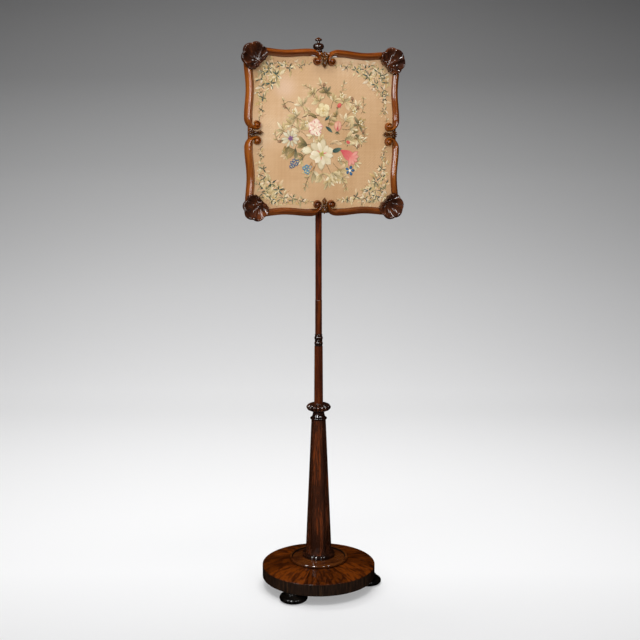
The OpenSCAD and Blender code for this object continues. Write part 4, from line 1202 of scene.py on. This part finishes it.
for petal, places in (
        (SLATE_BLUE, ((-90, -76), (-84, -70), (-78, -80), (-86, -84), (-74, -73), (-92, -86))),
        (CLEAR_BLUE, ((-56, -90), (-49, -86), (-44, -93), (-52, -98), (-40, -87), (-46, -101)))):
    for u, v in places:
        daisy(u, v, 5.6, petal, ("#cfc07a", "#e8dca6"), 5, 0.7)
for u, v, turn, size in ((38, 68, 50, 14), (62, -20, -20, 13)):
    tulip(u, v, turn, size, ("#c2403e", "#d9766a", "#b8383a"))
for u, v in ((44, -65), (-48, 26), (86, 58), (104, 30), (-84, 56), (50, 100)):
    daisy(u, v, 7.0, ("#d3c294", "#efe5c9", "#b09a68"), ("#a8854a", "#cdae66"), 5, 0.6)
for u, v, turn in ((80, 86, 100), (92, 64, 60), (110, 2, 80), (94, -36, 60), (-104, 64, 150), (-2, 120, 70),
                   (-118, -20, 190)):
    tulip(u, v, turn, 11, ("#7a5640", "#b58f6a", "#5c4232"))
print("flower patches:", len(work.faces) // PATCH_FACES)

# %% The corner sprays
# Each tuft of a spray is (distance along the side from its middle, distance in from the rail's line, size,
# dark and pale leaves). Those in the corner itself have their place from the panel's middle in its stead.
SPRAY = ((34, 15, 12, 2, 2), (48, 16, 14, 1, 4), (60, 19, 18, 4, 3), (75, 15, 17, 0, 5), (90, 24, 25, 4, 5),
         (103, 14, 18, 2, 5), (115, 22, 23, 3, 5), (131, 15, 22, 2, 5), (126, 44, 30, 5, 5), (148, 22, 23, 3, 5),
         (108, 36, 18, 0, 4), (142, 36, 20, 0, 5))
CORNER = ((144, 132, 26, 0, 7), (132, 144, 26, 0, 7), (160, 150, 24, 4, 5), (150, 162, 22, 3, 5),
          (150, 141, 20, 1, 5), (165, 167, 18, 1, 5), (138, 138, 20, 0, 5), (168, 140, 20, 1, 5),
          (140, 170, 20, 1, 5))
for quarter in range(4):
    a = math.pi / 2 * quarter
    tufts = list(CORNER)
    for along, inset, size, dark, pale in SPRAY:
        tufts += [(along, HALF - inset, size, dark, pale), (HALF - inset, along + 4, size, dark, pale)]
    for u, v, size, dark, pale in tufts:
        u, v = u + sway(3), v + sway(3)
        tuft(u * math.cos(a) - v * math.sin(a), u * math.sin(a) + v * math.cos(a), size, dark, pale)
flowers = finish(stand_up(work, 0), "flowers_in_wool", stitches, "panel", (), closed=False)
print("patches in all:", len(flowers.data.polygons) // PATCH_FACES)

# %% [markdown]
# ## The back
# A brown cotton lining closes the back, stretched on the strainer. Its twill shows as fine slanting ribs. The
# brass fittings, the pins, the pine strainer and the base's core keep their CAD shapes and only get finishes.
# The core is painted near black, a painted shade for the underside of the base, so that little light comes up off
# it onto the floor.

# %% Lining
lining, tree, shader, place = new_material("cotton_twill_lining")
slant = add(tree, "Mapping", {"Vector": place, "Rotation": (0.0, math.radians(-35), 0.0)})
# twill ribs about 1.6 mm wide, coarser than real cotton so that they show
ribs = bands(tree, slant, "X", 0.0016, 0.8, 4.0)
faded = add(tree, "TexNoise", {"Vector": place, "Scale": 16.0, "Detail": 4.0})
tone = ramp(tree, reckon(tree, "MULTIPLY_ADD", ribs, 0.22, faded), (0.35, "#64452f"), (0.6, "#6c4b35"),
            (0.85, "#76533e"))
wire(tree, shader, {
    "Base Color": tone, "Normal": add(tree, "Bump", {"Strength": 0.4, "Distance": 0.0004, "Height": ribs}),
    "Roughness": 0.9, "Sheen Weight": 0.2})
LINING = 2 * (INSERT - 1.0)
lining_depth = -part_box("back_lining")[1][1] / MM
backing = flat_cloth(LINING, lining_depth + 0.15, 60, 0.12)
bmesh.ops.reverse_faces(backing, faces=backing.faces)
backing = finish(backing, "cotton_back_lining", lining, "panel", ["back_lining"], closed=False)
print("lining", LINING, "mm square")

# %% CAD pieces that stay
def paint(material, *nodes):
    """Give CAD nodes a finish in their own slots."""
    for node in nodes:
        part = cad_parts[node]
        if not part.material_slots:
            part.data.materials.append(material)
        for slot in part.material_slots:
            slot.material = material
    print(material.name, "on", ", ".join(nodes))


FITTINGS = ["upper_bracket", "lower_bracket", "upper_bracket_screws", "lower_bracket_screws", "holding_pins",
            "thumb_screw"]
# painted shade: the base's pine core is coloured near black for the shade under the base
painted_shade_pine = streaked("painted_shade_pine", PINE_ACROSS, ("#120a06", "#1e120a", "#2c1a10"), 0.6, 0.0, scale=140.0,
                        bump=0.3)
paint(painted_shade_pine, "base_core")
paint(pine, *STRAINER[:2])
paint(pine_upright, *STRAINER[2:])
paint(brass, *FITTINGS)

# %% [markdown]
# ## A lamp behind
# The front boxes leave the back of the panel dark, and brass shows only what it mirrors. A small soft box
# behind lights the lining, the strainer and the fittings alone, so the front keeps its own shading.

# %% Lamp for the back
at_back = bpy.data.collections.new("back_of_the_panel")
for part in [backing] + [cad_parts[node] for node in FITTINGS + STRAINER]:
    at_back.objects.link(part)
behind = soft_box("behind_box", (0.9, 2.2, 2.3), (0.0, 0.0, 1.2), (1.6, 1.6), 46.0, at_back)
behind.visible_camera = False
